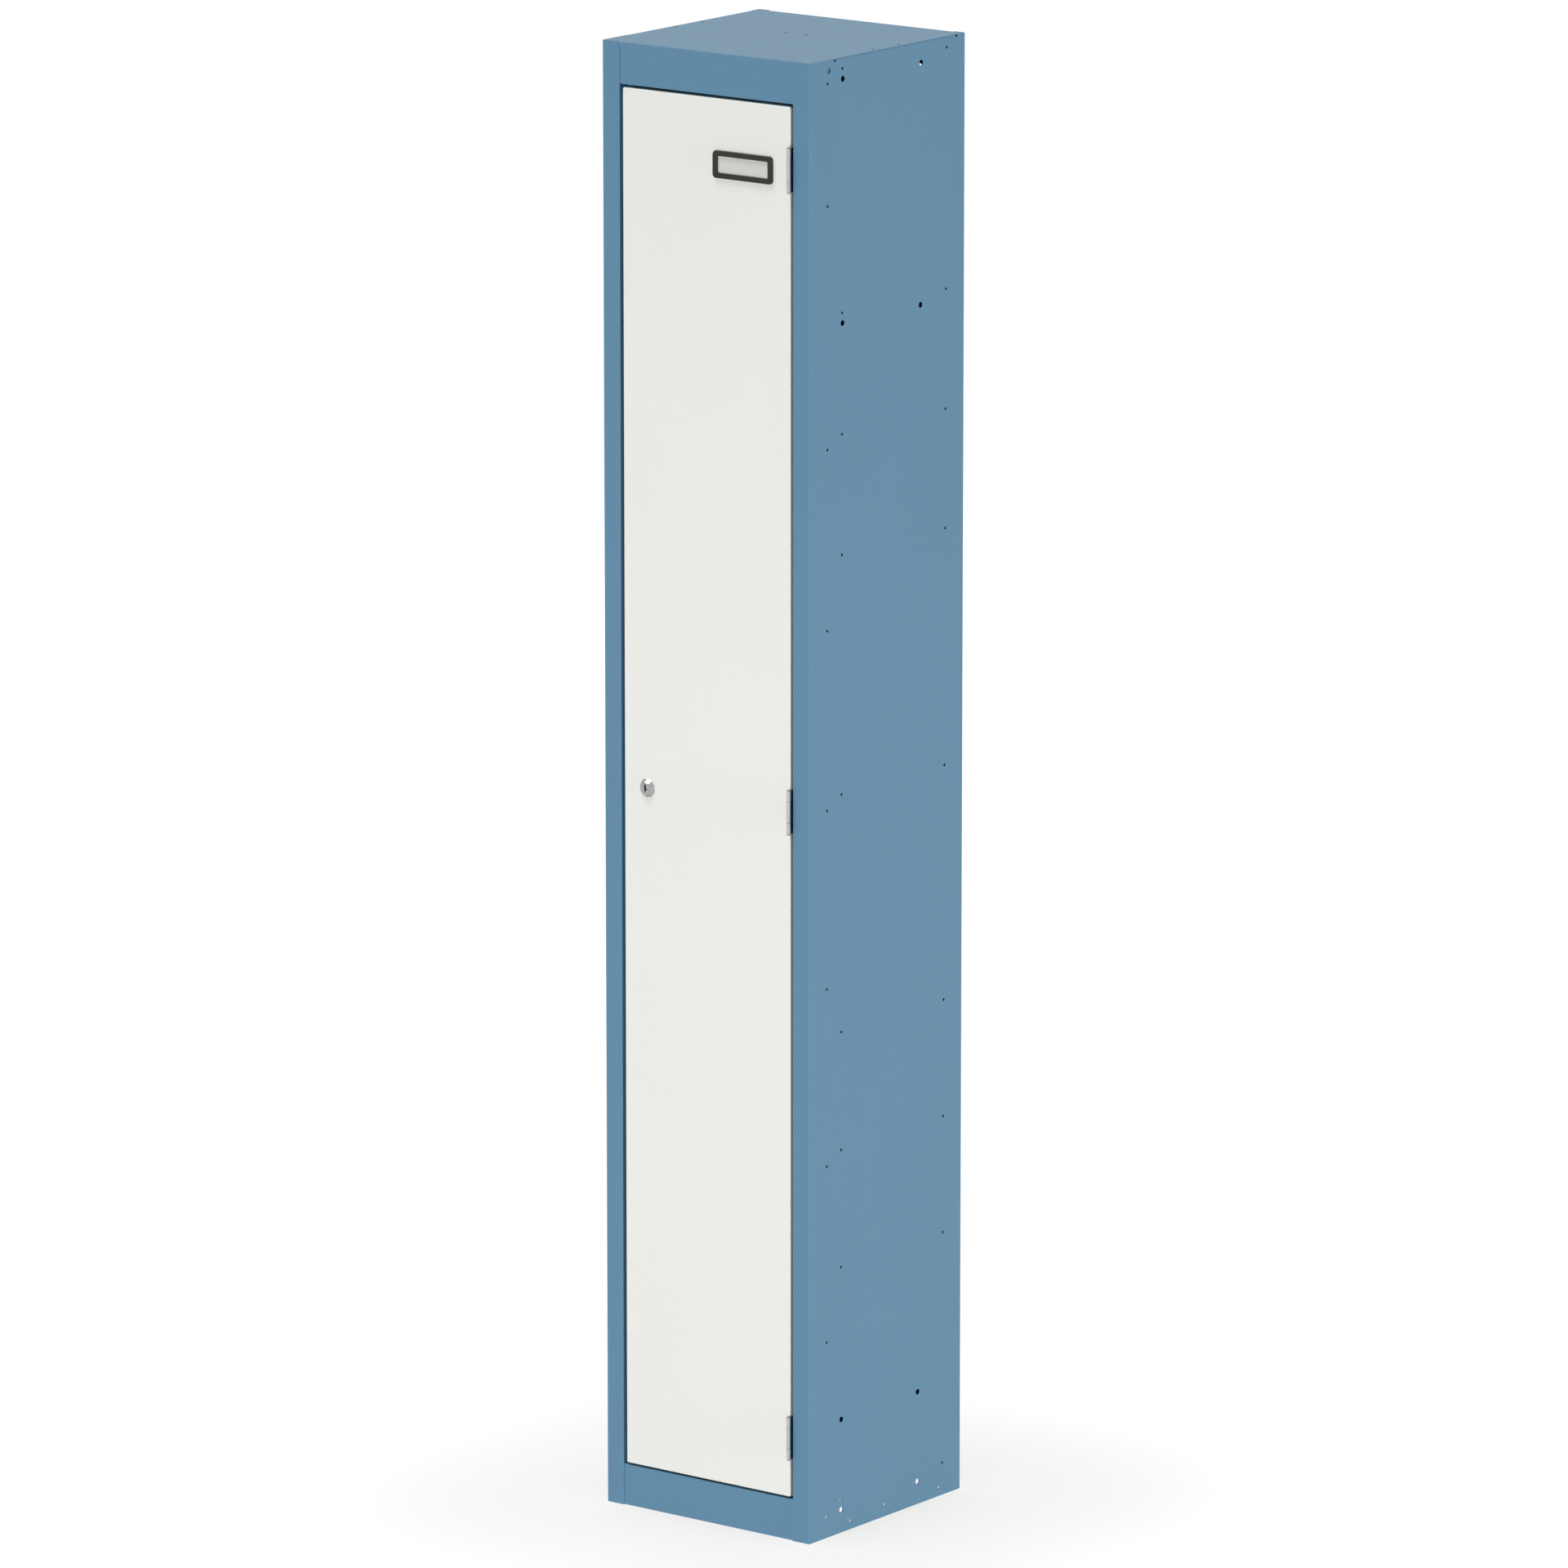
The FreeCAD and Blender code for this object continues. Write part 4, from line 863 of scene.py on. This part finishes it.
class Dresser:
    """Gives finishes to the locker's pieces and reports each one."""

    def __init__(self, nodes: dict[str, Piece]) -> None:
        """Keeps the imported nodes.

        Args:
            nodes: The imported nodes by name.
        """
        self.nodes = nodes
        self.done: set[str] = set()

    def dress(self, material: Material, *names: str) -> None:
        """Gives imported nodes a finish.

        Args:
            material: The finish.
            *names: The nodes' names.
        """
        for name in names:
            for slot in self.nodes[name].material_slots:
                slot.material = material
            self.done.add(name)
            LOG.info("%s: %s", name, material.name)

    def add(self, piece: Piece, body: Body, slot: Slot, material: Material) -> None:
        """Gives a new piece its finish and lets it ride on a body.

        Args:
            piece: The new piece.
            body: The body that carries it.
            slot: The record's slot that its finish belongs to. It is not used.
            material: The finish.
        """
        piece.data.materials.clear()
        piece.data.materials.append(material)
        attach(piece, body.value)
        LOG.info("%s: %s, on %s", piece.name, material.name, body.value)

    def check(self) -> None:
        """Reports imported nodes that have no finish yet."""
        for name in sorted(set(self.nodes) - self.done):
            LOG.warning("%s has no finish", name)


@dataclass
class CabinetShell:
    """The folded body with its shelf, hook and buffers."""

    dresser: Dresser
    coat: Colour = (0.091, 0.219, 0.338)
    rubber: Colour = (0.022, 0.022, 0.022)
    hook_lines: Triple = (45.0, 900.0, 900.0)
    clinch_line: float = 144.5 * MM
    clinch_pitch: float = 25.4 * MM
    clinch_radius: float = 3.0 * MM
    clinch_face: float = 150.4 * MM
    clinch_rows: tuple[int, int] = (3, 68)
    button_radius: float = 2.7 * MM
    button_height: float = 0.55 * MM
    button_sink: float = 0.1 * MM
    button_sides: int = 12
    button_steps: tuple[Range, ...] = ((0.7, 0.9), (0.25, 0.88), (0.05, 0.78), (-0.12, 0.7))
    button_smooth: float = 50.0
    wall: float = 1.0 * MM
    skin: float = 0.04 * MM
    fold: float = 5.0 * MM

    def clinch_buttons(self) -> Piece:
        """Models the buttons that the clinched joint raises on the inside of the back sheet.

        Returns:
            Both rows as one piece.
        """
        first, last = self.clinch_rows
        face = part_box("back_panel")[0].y + self.button_sink
        centre = Vector((self.clinch_line, face, first * self.clinch_pitch))
        Shop.clear()
        bpy.ops.mesh.primitive_circle_add(
            vertices=self.button_sides,
            radius=self.button_radius,
            fill_type="NGON",
            location=centre,
            rotation=FACING_FRONT,
        )
        piece = Shop.start("clinch_buttons")
        bpy.ops.mesh.select_all(action="SELECT")
        for rise, size in self.button_steps:
            move = Vector((0.0, -self.button_height * rise, 0.0))
            Shop.step(move, (size, 1.0, size), centre)
            centre = centre + move
        Shop.close(self.button_smooth)
        Shop.repeat(piece, last - first + 1, (0.0, 0.0, self.clinch_pitch))
        Shop.repeat(piece, 2, (-2.0 * self.clinch_line, 0.0, 0.0))
        return piece

    def clinched_coat(self) -> PowderCoat:
        """Returns the side panels' coat, with clinch marks behind and painted shade on the holes' cut edges.
        """
        low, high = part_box("right_side_panel")
        rows = (-self.clinch_line, self.clinch_line)
        return PowderCoat(
            "blue_powder_coat_clinched_hole_shade",
            self.coat,
            marks=JoiningMarks(rows, self.clinch_pitch, self.clinch_radius, behind=self.clinch_face),
            punched_wall=(
                (high.x - self.wall + self.skin, low.y + self.fold, low.z + self.fold),
                (high.x - self.skin, high.y - self.fold, high.z - self.fold),
            ),
        )

    def build(self) -> None:
        """Models the buttons and dresses the shell."""
        coat = PowderCoat("blue_powder_coat", self.coat).material()
        clinched = self.clinched_coat().material()
        zinc = BrightZinc("hook_zinc", lines=self.hook_lines).material()
        rubber = Moulding(
            "buffer_rubber", self.rubber, roughness=0.78, grain=900.0, depth=0.05 * MM
        ).material()
        self.dresser.dress(clinched, "left_side_panel", "right_side_panel")
        self.dresser.dress(coat, "back_panel", "top_panel", "floor_panel", "hat_shelf")
        self.dresser.dress(zinc, "coat_hook", "hook_rivets")
        self.dresser.dress(rubber, "door_buffers")
        self.dresser.add(self.clinch_buttons(), Body.CABINET, Slot.BLUE, coat)


@dataclass
class Door:
    """The pan door with its stiffener, its card holder and a blank card."""

    dresser: Dresser
    coat: Colour = (0.816, 0.822, 0.783)
    clouding: float = 0.006
    plastic: Colour = (0.0215, 0.022, 0.0195)
    # The card is a blank card, coloured greyer than the door as painted shade in the holder's window.
    card_shade_grey: Colour = (0.68, 0.685, 0.65)
    weld_inset: float = 6.0 * MM
    weld_pitch: float = 100.0 * MM
    weld_radius: float = 2.6 * MM
    card_size: Range = (78.2 * MM, 24.6 * MM)
    card_corner: float = 1.5 * MM
    card_corner_steps: int = 4
    card_thickness: float = 0.35 * MM
    card_gap: float = 0.05 * MM
    card_smooth: float = 30.0

    def card(self) -> Piece:
        """Models the blank card that lies in the holder's slot; its grey, darker than the door, is painted
        shade in the holder's window.

        Returns:
            The card.
        """
        low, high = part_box("card_holder")
        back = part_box("door_panel")[0].y - self.card_gap
        centre = Vector(((low.x + high.x) / 2, back, (low.z + high.z) / 2))
        width, height = self.card_size
        Shop.clear()
        bpy.ops.mesh.primitive_plane_add(size=1.0, location=centre, rotation=FACING_FRONT)
        piece = Shop.start("blank_card")
        bpy.ops.mesh.select_all(action="SELECT")
        bpy.ops.transform.resize(value=(width, 1.0, height), center_override=centre)
        bpy.ops.mesh.bevel(offset=self.card_corner, segments=self.card_corner_steps, affect="VERTICES")
        Shop.step(Vector((0.0, -self.card_thickness, 0.0)), SAME_SIZE, centre)
        Shop.close(self.card_smooth)
        return piece

    def welded_coat(self) -> PowderCoat:
        """Returns the stiffener's coat, with a row of spot welds along each edge."""
        low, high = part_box("door_stiffener")
        rows = (low.x + self.weld_inset, high.x - self.weld_inset)
        return PowderCoat(
            "white_powder_coat_welded",
            self.coat,
            marks=JoiningMarks(rows, self.weld_pitch, self.weld_radius),
            clouding=self.clouding,
        )

    def build(self) -> None:
        """Dresses the door and adds the card."""
        coat = PowderCoat("white_powder_coat", self.coat, clouding=self.clouding).material()
        welded = self.welded_coat().material()
        plastic = Moulding(
            "holder_plastic", self.plastic, roughness=0.55, grain=1400.0, depth=0.03 * MM
        ).material()
        card_shade_grey = Moulding(
            "card_paper_shade_grey", self.card_shade_grey, roughness=0.82, grain=700.0, depth=0.02 * MM, mottle=0.012
        ).material()
        self.dresser.dress(coat, "door_panel")
        self.dresser.dress(welded, "door_stiffener")
        self.dresser.dress(plastic, "card_holder")
        self.dresser.add(self.card(), Body.DOOR, Slot.WHITE, card_shade_grey)


@dataclass
class HingeSet:
    """The three knuckle hinges."""

    dresser: Dresser
    places: tuple[str, ...] = ("upper", "middle", "lower")
    pin_colour: Colour = (0.30, 0.30, 0.29)
    pin_roughness: float = 0.58
    shade_gap: float = 0.1 * MM
    bead_roughness: float = 0.42
    bead_lines: Triple = (300.0, 300.0, 500.0)
    bead_radius: float = 0.85 * MM
    bead_length: float = 9.0 * MM
    bead_sides: int = 8
    bead_rings: int = 13
    bead_end: float = 0.45
    bead_waist: float = 0.84
    bead_pitch: float = 19.0 * MM
    bead_count: int = 3
    bead_inset: float = 0.25 * MM
    bead_overhang: float = 0.2 * MM
    bead_smooth: float = 65.0

    @staticmethod
    def leaf(place: str, side: str) -> tuple[Vector, Vector]:
        """Returns the box of one hinge leaf."""
        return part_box(f"{place}_hinge_{side}_leaf")

    @staticmethod
    def pin_line() -> float:
        """Returns the y of the hinge pins' axis."""
        low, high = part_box("lower_hinge_pin")
        return (low.y + high.y) / 2

    @staticmethod
    def door_face() -> float:
        """Returns the x of the door's hinge edge, which the door leaves lie on."""
        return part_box("door_panel")[1].x

    def ring_size(self, ring: int) -> float:
        """Returns the width of one ring of a bead, as a share: narrow at the ends, with ripples between."""
        if ring in (0, self.bead_rings + 1):
            return self.bead_end
        return 1.0 if ring % 2 else self.bead_waist

    def stitches(self) -> Piece:
        """Models the stitch welds along the back edge of the frame leaves.

        Returns:
            The welds of all three hinges as one piece.
        """
        low, high = self.leaf("lower", "frame")
        lowest = (low.z + high.z) / 2 - self.bead_pitch
        centre = Vector((high.x - self.bead_inset, high.y + self.bead_overhang, lowest))
        Shop.clear()
        bpy.ops.mesh.primitive_cylinder_add(
            vertices=self.bead_sides,
            radius=self.bead_radius,
            depth=self.bead_length,
            end_fill_type="NGON",
            location=centre,
        )
        piece = Shop.start("frame_weld_stitches")
        half = self.bead_length / 2
        Shop.pick(piece, "EDGE", lambda ends: abs(ends[0].z - ends[1].z) > half)
        bpy.ops.mesh.subdivide(number_cuts=self.bead_rings)
        step = self.bead_length / (self.bead_rings + 1)
        for ring in range(self.bead_rings + 2):
            height = centre.z - half + step * ring
            size = self.ring_size(ring)
            Shop.pick(piece, "VERT", lambda spot: abs(spot[0].z - height) < step / 4)
            bpy.ops.transform.resize(value=(size, size, 1.0), center_override=(centre.x, centre.y, height))
        Shop.close(self.bead_smooth)
        Shop.repeat(piece, self.bead_count, (0.0, 0.0, self.bead_pitch))
        rise = self.leaf("middle", "frame")[0].z - low.z
        Shop.repeat(piece, len(self.places), (0.0, 0.0, rise))
        return piece

    def door_move(self) -> Vector:
        """Returns the way from the frame leaves' welds to those of the door leaves."""
        frame_high, door_high = self.leaf("lower", "frame")[1], self.leaf("lower", "door")[1]
        across = self.door_face() + self.bead_inset - (frame_high.x - self.bead_inset)
        return Vector((across, door_high.y - frame_high.y, 0.0))

    def build(self) -> None:
        """Models the welds and dresses the hinges."""
        zinc = BrightZinc("hinge_zinc").material()
        dull = BrightZinc("pin_zinc", colour=self.pin_colour, roughness=self.pin_roughness).material()
        # The frame leaves get a near-black painted shade behind the pins' axis, for the shadowed hinge gap.
        shade_start = self.pin_line() + self.shade_gap
        shaded_zinc = BrightZinc("hinge_zinc_painted_shade", shade_behind=shade_start).material()
        bead = BrightZinc("weld_zinc", roughness=self.bead_roughness, lines=self.bead_lines).material()
        for place in self.places:
            self.dresser.dress(shaded_zinc, f"{place}_hinge_frame_leaf")
            self.dresser.dress(zinc, f"{place}_hinge_door_leaf")
            self.dresser.dress(dull, f"{place}_hinge_pin")
        stitches = self.stitches()
        twin = Shop.copy(stitches, "door_weld_stitches", self.door_move())
        self.dresser.add(stitches, Body.CABINET, Slot.STEEL, bead)
        self.dresser.add(twin, Body.DOOR, Slot.STEEL, bead)


@dataclass
class CamLock:
    """The cam lock: collar, plug, nut, cam and screw."""

    dresser: Dresser
    barrel_radius: float = 9.0 * MM
    thread_pitch: float = 1.5 * MM
    thread_depth: float = 0.45 * MM
    thread_ends: float = 0.5 * MM
    thread_sides: int = 3
    thread_steps: int = 40
    thread_smooth: float = 35.0
    keyway_gap: float = 0.02 * MM
    cam_lines: Triple = (700.0, 700.0, 120.0)

    def thread(self) -> Piece:
        """Models the thread on the lock barrel, from the nut to the barrel's end.

        Returns:
            The thread as one ridge.
        """
        nut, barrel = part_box("lock_nut"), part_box("lock_body")
        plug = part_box("lock_plug")
        start, end = nut[1].y + self.thread_ends, barrel[1].y - self.thread_ends
        middle_x, middle_z = (plug[0].x + plug[1].x) / 2, (plug[0].z + plug[1].z) / 2
        Shop.clear()
        bpy.ops.mesh.primitive_circle_add(vertices=self.thread_sides, radius=self.thread_depth)
        piece = Shop.start("lock_thread")
        bpy.ops.mesh.select_all(action="SELECT")
        bpy.ops.transform.translate(value=(self.barrel_radius, 0.0, 0.0))
        bpy.ops.object.mode_set(mode="OBJECT")
        piece.location = Vector((middle_x, start + self.thread_depth, middle_z))
        ridge = piece.modifiers.new("ridge", "SCREW")
        ridge.axis = "Y"
        ridge.angle = math.tau
        ridge.iterations = int((end - start - 2 * self.thread_depth) / self.thread_pitch)
        ridge.screw_offset = self.thread_pitch
        ridge.steps = ridge.render_steps = self.thread_steps
        bpy.ops.object.modifier_apply(modifier=ridge.name)
        bpy.ops.object.transform_apply(location=True, rotation=True, scale=True)
        bpy.ops.object.mode_set(mode="EDIT")
        bpy.ops.mesh.select_all(action="SELECT")
        bpy.ops.mesh.fill_holes(sides=self.thread_sides)
        Shop.close(self.thread_smooth)
        return piece

    def build(self) -> None:
        """Models the thread and dresses the lock."""
        low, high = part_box("lock_plug")
        axis = tuple((low + high) / 2)
        chrome = LockChrome("lock_plating", axis).material()
        plug = LockChrome("plug_plating_keyway_shade", axis, dark_from=low.y + self.keyway_gap).material()
        zinc = BrightZinc("cam_zinc", lines=self.cam_lines).material()
        self.dresser.dress(chrome, "lock_body")
        self.dresser.dress(plug, "lock_plug")
        self.dresser.dress(zinc, "lock_nut", "lock_cam", "cam_screw")
        self.dresser.add(self.thread(), Body.DOOR, Slot.LOCK, chrome)


def main() -> None:
    """Builds the studio and every sub-assembly."""
    logging.basicConfig(level=logging.INFO, format="%(name)s: %(message)s")
    Studio().build()
    dresser = Dresser(frame["nodes"])
    for part in (CabinetShell(dresser), Door(dresser), HingeSet(dresser), CamLock(dresser)):
        part.build()
    dresser.check()


if __name__ == "__main__":
    main()
